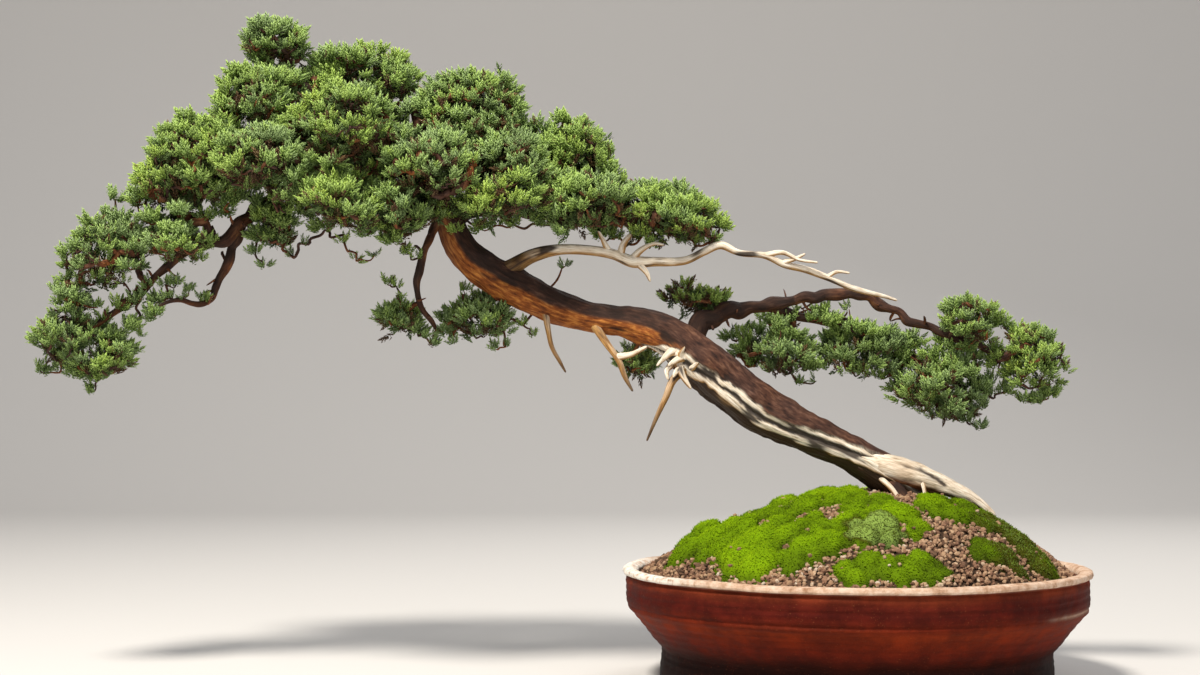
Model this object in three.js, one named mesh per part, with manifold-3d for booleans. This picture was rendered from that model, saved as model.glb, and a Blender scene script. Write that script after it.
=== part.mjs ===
// A bonsai juniper in a round, shallow, unglazed clay pot.
// Millimetres, +Z up, origin in the middle of the pot's underside. +X is the side the crown's end
// branches lean to, and the long cascade falls on the -X side.
import * as THREE from 'three';
import { mergeVertices } from 'three/addons/utils/BufferGeometryUtils.js';
import Module from 'manifold-3d';

const wasm = await Module();
wasm.setup();

// ---- driving dimensions ----------------------------------------------------------------------
const POT_SIDES = 32;
const POT_HEIGHT = 90.5;
const LIP_RADIUS = 186;
const LIP_WIDTH = 10;
const BAND_RADIUS = 183;
const BAND_BOTTOM = 61;
const BAND_TOP = 83;
const GROOVE_DEPTH = 1.5;
const FOOT_RADIUS = 155;
const FOOT_HEIGHT = 26;
const WALL_THICKNESS = 15;
const FOOT_WALL_THICKNESS = 16;
const FLOOR_THICKNESS = 12;

const DRAIN_HOLE_RADIUS = 10;
const DRAIN_HOLE_OFFSET = 72;
const DRAIN_HOLE_SIDES = 20;
const DRAIN_CHANNEL = { width: 9, depth: 3.5 };
const SCREEN = { width: 34, thickness: 1.2 };

const GAP = 0.4; // clearance between two pieces that touch

const SOIL_EDGE_HEIGHT = 82;
const SOIL_RISE = 66;
const SOIL_PEAK = [25, 5];
const SOIL_RINGS = 4;
const SOIL_ROUNDNESS = 2;

const TRUNK_SIDES = 8;
const BRANCH_SIDES = 6;

// Each limb is a list of points on its centre line, from its root to its tip: [x, y, z, radius].
const TRUNK = [
  [66, 2, 122, 18], [42, 2, 148, 16], [15, 0, 167, 14.2], [-6, 0, 180, 13.6], [-39, -2, 194.5, 16],
  [-75, -3, 212.5, 19.4], [-96, -4, 228.5, 19.4], [-115, -4, 244, 18.8], [-131, -4, 257.5, 17.4],
  [-147, -2, 271, 15.6], [-173, 0, 282, 13.6], [-201, 2, 287, 11.6], [-221, 4, 291, 12.2],
  [-249, 5, 302, 13.6], [-273, 4, 314, 14.6], [-297, 2, 327, 13.4], [-316, 0, 347, 12.4],
  [-324, 0, 367, 10.8], [-330, 2, 383, 9.6], [-336, 4, 400, 8.4], [-342, 8, 420, 7],
  [-348, 6, 440, 5], [-353, 2, 456, 3],
];
const ROOTS = [
  [
    [4, -1, 173, 9], [22, -2, 168, 11], [41, -4, 163, 11.5], [62, -7, 156.5, 9.5], [82, -9, 149, 6.5],
    [98, -10, 140, 4.4], [110, -11, 129, 3],
  ],
  [[38, 2, 156, 12], [36, 26, 150, 9], [44, 50, 139, 6], [50, 66, 126, 3]],
  [[30, -2, 155, 9], [34, -14, 148, 6], [40, -26, 138, 4.5], [46, -36, 125, 3]],
];
const LIMBS = {
  branch_left: [
    [-328, 0, 380, 6.5], [-352, -14, 398, 6.5], [-373, -16, 408, 6.3], [-400, -6, 405, 6],
    [-429, 4, 397, 5.6], [-455, 4, 390, 5.6], [-476, 0, 377, 5.4], [-489, -4, 364, 5],
    [-504, -8, 351, 4.4], [-521, -8, 343, 4], [-538, -6, 337, 3.6],
    [-552, -2, 326, 3.4], [-564, 0, 313, 3.4], [-579, 2, 302, 3.2], [-594, 4, 292, 2.9],
    [-608, 4, 281, 2.4], [-619, 0, 270, 1.9],
  ],
  branch_cascade_low: [
    [-488, -3, 366, 4.4], [-497, 2, 348, 4], [-504, 6, 332, 3.7], [-510, 6, 315, 3.2],
    [-515, 2, 303, 2.6], [-526, -4, 298, 2.2], [-540, -8, 302, 1.8], [-553, -10, 297, 1.4],
  ],
  branch_crown: [
    [-343, 8, 420, 5], [-363, 4, 438, 4.8], [-388, 6, 453, 4.3], [-413, 4, 462, 4],
    [-437, 2, 472, 3.5], [-452, 0, 489, 2.7], [-457, 0, 504, 1.8],
  ],
  branch_back_left: [
    [-339, 4, 398, 5.6], [-346, 30, 410, 5.3], [-362, 58, 419, 4.5], [-396, 76, 424, 3.9],
    [-439, 82, 430, 3.4], [-476, 80, 430, 2.5],
  ],
  branch_back_right: [
    [-333, 4, 388, 5.6], [-321, 30, 402, 4.9], [-302, 55, 409, 4.3], [-274, 72, 411, 3.5],
    [-245, 78, 411, 2.5],
  ],
  branch_upright: [
    [-331, 0, 386, 6.4], [-313, 0, 404, 5.6], [-301, 2, 422, 4.8], [-283, 0, 432, 3.5],
    [-251, 4, 424, 3.2], [-225, 10, 418, 2.4],
  ],
  branch_right_high: [
    [-324, 2, 366, 6], [-305, 10, 373, 5.4], [-282, 14, 376, 4.8], [-252, 8, 372, 4.2],
    [-224, -2, 367, 3.8], [-196, -6, 365, 3.4], [-171, -4, 364, 2.9], [-145, 0, 364, 2.1],
  ],
  branch_hanging: [
    [-333, -5, 364, 4.2], [-340, -12, 346, 3.4], [-346, -14, 327, 3], [-349, -14, 313, 2.7],
    [-346, -12, 299, 2.4], [-339, -8, 288, 1.9], [-333, -4, 278, 1.4],
  ],
  branch_right: [
    [-131, 4, 270, 8.4], [-112, 14, 289, 7], [-85, 22, 296, 6.2], [-60, 26, 300, 5.4],
    [-40, 28, 305, 4.8], [-11, 30, 308, 4.6], [14, 30, 306, 4.3], [29, 30, 298, 4],
    [46, 28, 289, 3.7], [66, 26, 280, 3.4], [85, 22, 272, 3], [107, 20, 266, 2.6], [121, 20, 255, 2],
  ],
  branch_right_low: [
    [-66, 27, 298, 4.4], [-36, 39, 290, 4], [-7, 44, 286, 3.7], [19, 44, 281, 3.4],
    [38, 42, 272, 3.2], [53, 38, 260, 2.9], [64, 36, 247, 2.5], [70, 34, 229, 2],
  ],
  jin_long: [
    [-276, 1, 327, 7.2], [-255, -6, 338, 5.6], [-235, -10, 342, 4.5], [-211, -12, 341, 4.1],
    [-193, -12, 338, 4.3], [-177, -12, 332, 4.8], [-159, -12, 332, 3.8], [-135, -12, 333, 3.5],
    [-120, -13, 340, 3.3], [-107, -14, 345, 3.2], [-93, -14, 339, 2.7], [-72, -12, 337, 2.7],
    [-56, -10, 330, 2.9], [-39, -8, 326, 2.9], [-20, -6, 319, 2.6], [-3, -4, 312, 2.4],
    [12, 0, 308, 2.1], [26, 4, 305, 1.6], [36, 6, 302, 1],
  ],
  jin_hook: [
    [-247, -1, 296, 3.8], [-244, -8, 277, 2.6], [-241, -12, 264, 2.2], [-235, -14, 253, 1.8],
    [-230, -15, 244, 0.9],
  ],
  jin_fork: [
    [-208, -3, 283, 4.4], [-197, -14, 266, 3.3], [-188, -18, 253, 2.8], [-183, -20, 240, 2.3],
    [-177, -21, 229, 1],
  ],
  jin_spike: [
    [-129, -7, 250, 6], [-144, -17, 239, 4], [-151, -22, 224, 3], [-158, -24, 209, 2.1],
    [-166, -26, 190, 0.9],
  ],
};

// Foliage pads: centre, then width x depth x height, then tilt (degrees, right end down).
const PADS = {
  foliage_apex: { at: [-461, 0, 510], size: [55, 60, 42], tilt: 0 },
  foliage_apex_left: { at: [-470, -12, 462], size: [80, 75, 56], tilt: -4 },
  foliage_crown_front: { at: [-402, -45, 436], size: [92, 84, 62], tilt: 0 },
  foliage_crown_back: { at: [-398, 30, 484], size: [96, 74, 56], tilt: 0 },
  foliage_upper_dome: { at: [-302, 6, 455], size: [90, 90, 72], tilt: 0 },
  foliage_left_shoulder: { at: [-528, -5, 415], size: [94, 104, 66], tilt: -26 },
  foliage_left_front: { at: [-463, -50, 410], size: [80, 80, 56], tilt: -6 },
  foliage_centre_front: { at: [-401, -66, 374], size: [74, 64, 42], tilt: 26 },
  foliage_centre_high: { at: [-328, -52, 404], size: [84, 70, 58], tilt: 0 },
  foliage_centre_low: { at: [-364, -34, 378], size: [66, 72, 62], tilt: 0 },
  foliage_mid_right: { at: [-273, -20, 410], size: [72, 84, 56], tilt: 0 },
  foliage_mid_low: { at: [-281, -40, 382], size: [74, 70, 40], tilt: 0 },
  foliage_right_dome: { at: [-224, 20, 424], size: [66, 80, 58], tilt: 0 },
  foliage_right_shelf: { at: [-212, -10, 380], size: [86, 88, 52], tilt: 4 },
  foliage_right_tip: { at: [-147, 0, 371], size: [92, 88, 46], tilt: 18 },
  foliage_cascade_upper: { at: [-600, -5, 343], size: [76, 82, 54], tilt: -40 },
  foliage_cascade_inner: { at: [-537, -20, 348], size: [54, 58, 38], tilt: 0 },
  foliage_cascade_tip: { at: [-632, -5, 277], size: [45, 58, 44], tilt: 0 },
  foliage_cascade_low: { at: [-606, 10, 262], size: [58, 66, 54], tilt: 0 },
  foliage_under_left: { at: [-464, 0, 362], size: [42, 46, 44], tilt: 0 },
  foliage_hanging_left: { at: [-361, 0, 286], size: [50, 48, 28], tilt: 16 },
  foliage_hanging_right: { at: [-297, 10, 290], size: [46, 48, 42], tilt: 0 },
  foliage_saddle: { at: [-125, 28, 306], size: [60, 46, 20], tilt: 0 },
  foliage_skirt_near: { at: [-57, 46, 264], size: [86, 80, 46], tilt: 8 },
  foliage_skirt_mid: { at: [12, 54, 262], size: [80, 72, 48], tilt: 8 },
  foliage_skirt_end: { at: [76, 38, 233], size: [75, 75, 58], tilt: 14 },
  foliage_right_crest: { at: [97, 14, 287], size: [52, 58, 44], tilt: 20 },
  foliage_right_end: { at: [150, 20, 256], size: [56, 68, 56], tilt: 0 },
  foliage_jin_tuft: { at: [-172, 26, 254], size: [36, 42, 30], tilt: 0 },
  foliage_back_shoulder: { at: [-538, 70, 410], size: [80, 78, 42], tilt: -10 },
  foliage_back_left: { at: [-465, 82, 432], size: [92, 80, 44], tilt: 0 },
  foliage_back_centre: { at: [-372, 84, 432], size: [100, 80, 51], tilt: 0 },
  foliage_back_right: { at: [-266, 82, 413], size: [98, 80, 50], tilt: 0 },
};
const PAD_DETAIL = 1;
const PAD_TOP_SHARE = 0.62; // share of a pad's height that is above its widest level

// Moss cushions on the mound: middle, then radii across and front to back, then height.
const MOSS = {
  moss_left: { at: [-116, -34], radii: [34, 44], height: 12, turn: 15 },
  moss_left_front: { at: [-64, -94], radii: [54, 42], height: 11, turn: -18 },
  moss_crest_left: { at: [-42, -18], radii: [52, 38], height: 7, turn: 0 },
  moss_front: { at: [8, -146], radii: [44, 17], height: 9, turn: 4 },
  moss_centre: { at: [8, -80], radii: [30, 46], height: 9, turn: -8 },
  moss_right: { at: [78, -42], radii: [38, 34], height: 9, turn: 20 },
  moss_right_flank: { at: [122, -60], radii: [20, 46], height: 8, turn: 14 },
  moss_back: { at: [18, 88], radii: [72, 44], height: 9, turn: 12 },
};
const MOSS_DETAIL = 1;
const SLOPE_REACH = 4; // how far to each side the mound's slope is measured

// ---- materials -------------------------------------------------------------------------------
const COLORS = {
  clay: 0x7a3d2a, soil: 0x8a6545, moss: 0x5f7330, bark: 0x4a3023, deadwood: 0xcbbfa6,
  foliage: 0x4f7a3c, mesh: 0x23262a,
};
const ROUGHNESS = {
  clay: 0.72, soil: 0.95, moss: 0.95, bark: 0.85, deadwood: 0.7, foliage: 0.6, mesh: 0.5,
};

function material(kind) {
  return new THREE.MeshStandardMaterial({
    color: COLORS[kind],
    roughness: ROUGHNESS[kind],
    metalness: 0,
  });
}

// ---- solids ----------------------------------------------------------------------------------
function toSolid(geometry) {
  const bare = geometry.clone();
  bare.deleteAttribute('normal');
  bare.deleteAttribute('uv');
  const merged = mergeVertices(bare, 1e-3);
  const corners = merged.index.array;
  const faces = [];
  for (let i = 0; i < corners.length; i += 3) {
    const [a, b, c] = corners.slice(i, i + 3);
    if (a !== b && b !== c && c !== a) faces.push(a, b, c);
  }
  const mesh = new wasm.Mesh({
    numProp: 3,
    vertProperties: Float32Array.from(merged.attributes.position.array),
    triVerts: Uint32Array.from(faces),
  });
  return new wasm.Manifold(mesh);
}

function toGeometry(solid) {
  const mesh = solid.getMesh();
  const geometry = new THREE.BufferGeometry();
  geometry.setAttribute('position', new THREE.BufferAttribute(Float32Array.from(mesh.vertProperties), 3));
  geometry.setIndex(new THREE.BufferAttribute(Uint32Array.from(mesh.triVerts), 1));
  geometry.computeVertexNormals();
  return geometry;
}

// What is left of a solid once the cutters are taken away, as one body.
function carve(solid, cutters) {
  const rest = cutters.reduce((left, cutter) => left.subtract(cutter), solid);
  const bodies = rest.decompose();
  bodies.sort((a, b) => b.volume() - a.volume());
  return bodies[0];
}

// A closed skin over rings of points, from a point at the top to a point at the bottom.
function skin(top, rings, bottom) {
  const sides = rings[0].length;
  const points = [top, ...rings.flat(), bottom];
  const last = points.length - 1;
  const at = (ring, side) => 1 + ring * sides + (side % sides);
  const faces = [];
  for (let side = 0; side < sides; side += 1) {
    faces.push(0, at(0, side), at(0, side + 1));
    faces.push(last, at(rings.length - 1, side + 1), at(rings.length - 1, side));
    for (let ring = 0; ring + 1 < rings.length; ring += 1) {
      faces.push(at(ring, side), at(ring + 1, side), at(ring + 1, side + 1));
      faces.push(at(ring, side), at(ring + 1, side + 1), at(ring, side + 1));
    }
  }
  const geometry = new THREE.BufferGeometry();
  geometry.setAttribute('position', new THREE.Float32BufferAttribute(points.flat(), 3));
  geometry.setIndex(faces);
  return geometry;
}

// ---- pot -------------------------------------------------------------------------------------
const INNER_WALL = [
  [LIP_RADIUS - LIP_WIDTH, POT_HEIGHT], [LIP_RADIUS - LIP_WIDTH - 3, POT_HEIGHT - 4],
  [BAND_RADIUS - WALL_THICKNESS, BAND_BOTTOM], [FOOT_RADIUS - 7, FOOT_HEIGHT + 2],
  [FOOT_RADIUS - FOOT_WALL_THICKNESS, FLOOR_THICKNESS],
];

function innerRadius(height) {
  for (let i = 0; i + 1 < INNER_WALL.length; i += 1) {
    const [upperRadius, upper] = INNER_WALL[i];
    const [lowerRadius, lower] = INNER_WALL[i + 1];
    if (height >= lower) {
      return lowerRadius + ((upperRadius - lowerRadius) * (height - lower)) / (upper - lower);
    }
  }
  return FOOT_RADIUS - FOOT_WALL_THICKNESS;
}

function potBody() {
  const outerWall = [
    [0, 0], [FOOT_RADIUS - 1.5, 0], [FOOT_RADIUS, 1.5], [FOOT_RADIUS - 0.5, FOOT_HEIGHT],
    [FOOT_RADIUS + 6, FOOT_HEIGHT + 7], [FOOT_RADIUS + 14, FOOT_HEIGHT + 16],
    [FOOT_RADIUS + 22, FOOT_HEIGHT + 26], [BAND_RADIUS - 1, BAND_BOTTOM - 4],
    [BAND_RADIUS - GROOVE_DEPTH, BAND_BOTTOM - 1.5], [BAND_RADIUS, BAND_BOTTOM + 1],
    [BAND_RADIUS, BAND_TOP], [BAND_RADIUS - 2, BAND_TOP + 1.5], [LIP_RADIUS, BAND_TOP + 3.5],
    [LIP_RADIUS, POT_HEIGHT - 1.5], [LIP_RADIUS - 2, POT_HEIGHT],
  ];
  const profile = [...outerWall, ...INNER_WALL, [0, FLOOR_THICKNESS]];
  const turned = new THREE.LatheGeometry(profile.map(([r, z]) => new THREE.Vector2(r, z)), POT_SIDES);
  turned.rotateX(Math.PI / 2);
  return toSolid(turned);
}

function drainCutters() {
  return [-1, 1].flatMap((side) => {
    const hole = new THREE.CylinderGeometry(
      DRAIN_HOLE_RADIUS, DRAIN_HOLE_RADIUS, FLOOR_THICKNESS * 3, DRAIN_HOLE_SIDES,
    );
    hole.rotateX(Math.PI / 2);
    hole.translate(side * DRAIN_HOLE_OFFSET, 0, FLOOR_THICKNESS / 2);
    const channel = new THREE.BoxGeometry(FOOT_RADIUS, DRAIN_CHANNEL.width, DRAIN_CHANNEL.depth * 2);
    channel.translate(side * (DRAIN_HOLE_OFFSET + FOOT_RADIUS / 2), 0, 0);
    return [toSolid(hole), toSolid(channel)];
  });
}

function drainScreen(side, extra = 0) {
  const { width, thickness } = SCREEN;
  const plate = new THREE.BoxGeometry(width + 2 * extra, width + 2 * extra, thickness + 2 * extra);
  plate.translate(side * DRAIN_HOLE_OFFSET, 0, FLOOR_THICKNESS + GAP + thickness / 2);
  return toSolid(plate);
}

// ---- soil and moss ---------------------------------------------------------------------------
function soilRing(share, lift) {
  const rim = innerRadius(SOIL_EDGE_HEIGHT) - GAP;
  const ring = [];
  for (let side = 0; side < POT_SIDES; side += 1) {
    const angle = (side / POT_SIDES) * Math.PI * 2;
    const x = SOIL_PEAK[0] + (Math.cos(angle) * rim - SOIL_PEAK[0]) * share;
    const y = SOIL_PEAK[1] + (Math.sin(angle) * rim - SOIL_PEAK[1]) * share;
    ring.push([x, y, SOIL_EDGE_HEIGHT + SOIL_RISE * (1 - share ** SOIL_ROUNDNESS) + lift]);
  }
  return ring;
}

function levelRing(radius, height) {
  return Array.from({ length: POT_SIDES }, (_, side) => {
    const angle = (side / POT_SIDES) * Math.PI * 2;
    return [Math.cos(angle) * radius, Math.sin(angle) * radius, height];
  });
}

function soilMound(lift = 0) {
  const rings = [];
  for (let ring = 1; ring <= SOIL_RINGS; ring += 1) rings.push(soilRing(ring / SOIL_RINGS, lift));
  const floor = FLOOR_THICKNESS + GAP;
  for (const [radius, height] of INNER_WALL) {
    if (height < SOIL_EDGE_HEIGHT) rings.push(levelRing(radius - GAP, Math.max(height, floor)));
  }
  const top = [...SOIL_PEAK, SOIL_EDGE_HEIGHT + SOIL_RISE + lift];
  return toSolid(skin(top, rings, [0, 0, floor]));
}

function soilHeight(x, y) {
  const rim = innerRadius(SOIL_EDGE_HEIGHT) - GAP;
  const [dx, dy] = [x - SOIL_PEAK[0], y - SOIL_PEAK[1]];
  const away = Math.hypot(dx, dy) || 1e-6;
  const along = (SOIL_PEAK[0] * dx + SOIL_PEAK[1] * dy) / away;
  const reach = -along + Math.sqrt(along ** 2 + rim ** 2 - SOIL_PEAK[0] ** 2 - SOIL_PEAK[1] ** 2);
  return SOIL_EDGE_HEIGHT + SOIL_RISE * (1 - (away / reach) ** SOIL_ROUNDNESS);
}

function mossCushion({ at: [x, y], radii, height, turn }, extra = 0) {
  const slopeX = (soilHeight(x + SLOPE_REACH, y) - soilHeight(x - SLOPE_REACH, y)) / (2 * SLOPE_REACH);
  const slopeY = (soilHeight(x, y + SLOPE_REACH) - soilHeight(x, y - SLOPE_REACH)) / (2 * SLOPE_REACH);
  const up = new THREE.Vector3(-slopeX, -slopeY, 1).normalize();
  const dome = new THREE.IcosahedronGeometry(1, MOSS_DETAIL);
  dome.scale(radii[0] + extra, radii[1] + extra, height + extra);
  dome.rotateZ(THREE.MathUtils.degToRad(turn));
  dome.applyQuaternion(new THREE.Quaternion().setFromUnitVectors(new THREE.Vector3(0, 0, 1), up));
  dome.translate(x, y, soilHeight(x, y));
  return toSolid(dome);
}

// ---- wood ------------------------------------------------------------------------------------
function radiusAt(points, share) {
  const place = share * (points.length - 1);
  const before = Math.min(Math.floor(place), points.length - 2);
  return THREE.MathUtils.lerp(points[before][3], points[before + 1][3], place - before);
}

// A round limb along a smooth curve. extra makes it that much fatter and longer at both ends.
function limb(points, sides, extra = 0) {
  const curve = new THREE.CatmullRomCurve3(
    points.map(([x, y, z]) => new THREE.Vector3(x, y, z)), false, 'centripetal',
  );
  const steps = points.length - 1;
  const frames = curve.computeFrenetFrames(steps, false);
  const geometry = new THREE.CylinderGeometry(1, 1, 1, sides, steps);
  const position = geometry.attributes.position;
  const vertex = new THREE.Vector3();
  for (let i = 0; i < position.count; i += 1) {
    vertex.fromBufferAttribute(position, i);
    const step = Math.round((vertex.y + 0.5) * steps);
    const share = step / steps;
    const radius = radiusAt(points, curve.getUtoTmapping(share)) + extra;
    const overrun = (step === steps) - (step === 0);
    const place = curve.getPointAt(share)
      .addScaledVector(frames.binormals[step], vertex.x * radius)
      .addScaledVector(frames.normals[step], vertex.z * radius)
      .addScaledVector(frames.tangents[step], overrun * extra);
    position.setXYZ(i, place.x, place.y, place.z);
  }
  return toSolid(geometry);
}

function trunkWithRoots(extra = 0) {
  const stem = limb(TRUNK, TRUNK_SIDES, extra);
  return ROOTS.reduce((wood, root) => wood.add(limb(root, BRANCH_SIDES, extra)), stem);
}

// ---- foliage ---------------------------------------------------------------------------------
// A lumpy cushion of foliage, domed above and flatter below.
function foliagePad({ at, size, tilt }, extra = 0) {
  const shape = new THREE.IcosahedronGeometry(1, PAD_DETAIL);
  const position = shape.attributes.position;
  const [width, depth, height] = size.map((side) => side + 2 * extra);
  const phase = at[0] * 0.1 + at[2] * 0.05;
  for (let i = 0; i < position.count; i += 1) {
    const [x, y, z] = [position.getX(i), position.getY(i), position.getZ(i)];
    const lump = 1 + 0.05 * Math.sin(5 * x + phase) + 0.05 * Math.sin(6 * y + 2 * phase);
    const share = z > 0 ? PAD_TOP_SHARE : 1 - PAD_TOP_SHARE;
    const level = z * share + 0.5 - PAD_TOP_SHARE;
    position.setXYZ(i, (x * lump * width) / 2, (y * lump * depth) / 2, level * height);
  }
  shape.rotateY(THREE.MathUtils.degToRad(tilt));
  shape.translate(...at);
  return toSolid(shape);
}

// ---- the whole object ------------------------------------------------------------------------
const group = new THREE.Group();

function addPiece(name, solid, kind) {
  const mesh = new THREE.Mesh(toGeometry(solid), material(kind));
  mesh.name = name;
  group.add(mesh);
}

const trunkCutter = trunkWithRoots(GAP);

addPiece('pot', carve(potBody(), drainCutters()), 'clay');
addPiece('drain_screen_left', drainScreen(-1), 'mesh');
addPiece('drain_screen_right', drainScreen(1), 'mesh');
addPiece('soil', carve(soilMound(), [trunkCutter, drainScreen(-1, GAP), drainScreen(1, GAP)]), 'soil');

const mossCutters = [trunkCutter, soilMound(GAP)];
for (const [name, cushion] of Object.entries(MOSS)) {
  addPiece(name, carve(mossCushion(cushion), mossCutters), 'moss');
  mossCutters.push(mossCushion(cushion, GAP));
}

addPiece('trunk', trunkWithRoots(), 'bark');
const woodCutters = [trunkCutter];
for (const [name, points] of Object.entries(LIMBS)) {
  const kind = name.startsWith('jin') ? 'deadwood' : 'bark';
  addPiece(name, carve(limb(points, BRANCH_SIDES), woodCutters), kind);
  woodCutters.push(limb(points, BRANCH_SIDES, GAP));
}

const padCutters = [...woodCutters];
for (const [name, pad] of Object.entries(PADS)) {
  addPiece(name, carve(foliagePad(pad), padCutters), 'foliage');
  padCutters.push(foliagePad(pad, GAP));
}

export default group;
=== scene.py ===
import math

import bpy
import numpy as np
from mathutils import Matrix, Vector
from mathutils.bvhtree import BVHTree


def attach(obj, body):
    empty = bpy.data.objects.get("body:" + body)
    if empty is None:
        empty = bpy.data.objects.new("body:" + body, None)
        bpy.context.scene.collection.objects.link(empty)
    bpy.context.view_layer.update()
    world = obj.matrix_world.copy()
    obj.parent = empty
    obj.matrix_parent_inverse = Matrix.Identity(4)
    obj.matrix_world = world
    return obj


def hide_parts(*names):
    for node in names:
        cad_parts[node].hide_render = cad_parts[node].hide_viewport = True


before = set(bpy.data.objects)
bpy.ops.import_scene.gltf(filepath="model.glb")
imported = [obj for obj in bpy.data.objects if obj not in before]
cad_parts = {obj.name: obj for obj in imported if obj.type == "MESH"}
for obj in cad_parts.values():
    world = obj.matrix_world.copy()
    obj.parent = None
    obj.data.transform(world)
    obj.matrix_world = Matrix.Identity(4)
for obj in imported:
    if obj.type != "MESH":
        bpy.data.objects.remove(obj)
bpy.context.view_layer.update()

# A bonsai juniper in a round clay pot. Shapes are worked out in millimetres in the CAD frame and
# turned into metres when a mesh is made.
MM = 0.001
UP = np.array([0.0, 0.0, 1.0])
FRONT = np.array([0.0, -1.0, 0.0])

# ---- routes of the wood: the same points as the CAD solids, [x, y, z, radius] ------------------
TRUNK = [
    [66, 2, 122, 18], [42, 2, 148, 16], [15, 0, 167, 14.2], [-6, 0, 180, 13.6], [-39, -2, 194.5, 16],
    [-75, -3, 212.5, 19.4], [-96, -4, 228.5, 19.4], [-115, -4, 244, 18.8], [-131, -4, 257.5, 17.4],
    [-147, -2, 271, 15.6], [-173, 0, 282, 13.6], [-201, 2, 287, 11.6], [-221, 4, 291, 12.2],
    [-249, 5, 302, 13.6], [-273, 4, 314, 14.6], [-297, 2, 327, 13.4], [-316, 0, 347, 12.4],
    [-324, 0, 367, 10.8], [-330, 2, 383, 9.6], [-336, 4, 400, 8.4], [-342, 8, 420, 7],
    [-348, 6, 440, 5], [-353, 2, 456, 3],
]
ROOTS = [
    [
      [4, -1, 173, 9], [22, -2, 168, 11], [41, -4, 163, 11.5], [62, -7, 156.5, 9.5], [82, -9, 149, 6.5],
      [98, -10, 140, 4.4], [110, -11, 129, 3],
    ],
    [[38, 2, 156, 12], [36, 26, 150, 9], [44, 50, 139, 6], [50, 66, 126, 3]],
    [[30, -2, 155, 9], [34, -14, 148, 6], [40, -26, 138, 4.5], [46, -36, 125, 3]],
]
BRANCHES = {
    "branch_left": [
        [-328, 0, 380, 6.5], [-352, -14, 398, 6.5], [-373, -16, 408, 6.3], [-400, -6, 405, 6],
        [-429, 4, 397, 5.6], [-455, 4, 390, 5.6], [-476, 0, 377, 5.4], [-489, -4, 364, 5],
        [-504, -8, 351, 4.4], [-521, -8, 343, 4], [-538, -6, 337, 3.6], [-552, -2, 326, 3.4],
        [-564, 0, 313, 3.4], [-579, 2, 302, 3.2], [-594, 4, 292, 2.9], [-608, 4, 281, 2.4],
        [-619, 0, 270, 1.9],
    ],
    "branch_cascade_low": [
        [-488, -3, 366, 4.4], [-497, 2, 348, 4], [-504, 6, 332, 3.7], [-510, 6, 315, 3.2],
        [-515, 2, 303, 2.6], [-526, -4, 298, 2.2], [-540, -8, 302, 1.8], [-553, -10, 297, 1.4],
    ],
    "branch_crown": [
        [-343, 8, 420, 5], [-363, 4, 438, 4.8], [-388, 6, 453, 4.3], [-413, 4, 462, 4], [-437, 2, 472, 3.5],
        [-452, 0, 489, 2.7], [-457, 0, 504, 1.8],
    ],
    "branch_back_left": [
        [-339, 4, 398, 5.6], [-346, 30, 410, 5.3], [-362, 58, 419, 4.5], [-396, 76, 424, 3.9],
        [-439, 82, 430, 3.4], [-476, 80, 430, 2.5],
    ],
    "branch_back_right": [
        [-333, 4, 388, 5.6], [-321, 30, 402, 4.9], [-302, 55, 409, 4.3], [-274, 72, 411, 3.5],
        [-245, 78, 411, 2.5],
    ],
    "branch_upright": [
        [-331, 0, 386, 6.4], [-313, 0, 404, 5.6], [-301, 2, 422, 4.8], [-283, 0, 432, 3.5],
        [-251, 4, 424, 3.2], [-225, 10, 418, 2.4],
    ],
    "branch_right_high": [
        [-324, 2, 366, 6], [-305, 10, 373, 5.4], [-282, 14, 376, 4.8], [-252, 8, 372, 4.2],
        [-224, -2, 367, 3.8], [-196, -6, 365, 3.4], [-171, -4, 364, 2.9], [-145, 0, 364, 2.1],
    ],
    "branch_hanging": [
        [-333, -5, 364, 4.2], [-340, -12, 346, 3.4], [-346, -14, 327, 3], [-349, -14, 313, 2.7],
        [-346, -12, 299, 2.4], [-339, -8, 288, 1.9], [-333, -4, 278, 1.4],
    ],
    "branch_right": [
        [-131, 4, 270, 8.4], [-112, 14, 289, 7], [-85, 22, 296, 6.2], [-60, 26, 300, 5.4],
        [-40, 28, 305, 4.8], [-11, 30, 308, 4.6], [14, 30, 306, 4.3], [29, 30, 298, 4], [46, 28, 289, 3.7],
        [66, 26, 280, 3.4], [85, 22, 272, 3], [107, 20, 266, 2.6], [121, 20, 255, 2],
    ],
    "branch_right_low": [
        [-66, 27, 298, 4.4], [-36, 39, 290, 4], [-7, 44, 286, 3.7], [19, 44, 281, 3.4], [38, 42, 272, 3.2],
        [53, 38, 260, 2.9], [64, 36, 247, 2.5], [70, 34, 229, 2],
    ],
}
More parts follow.
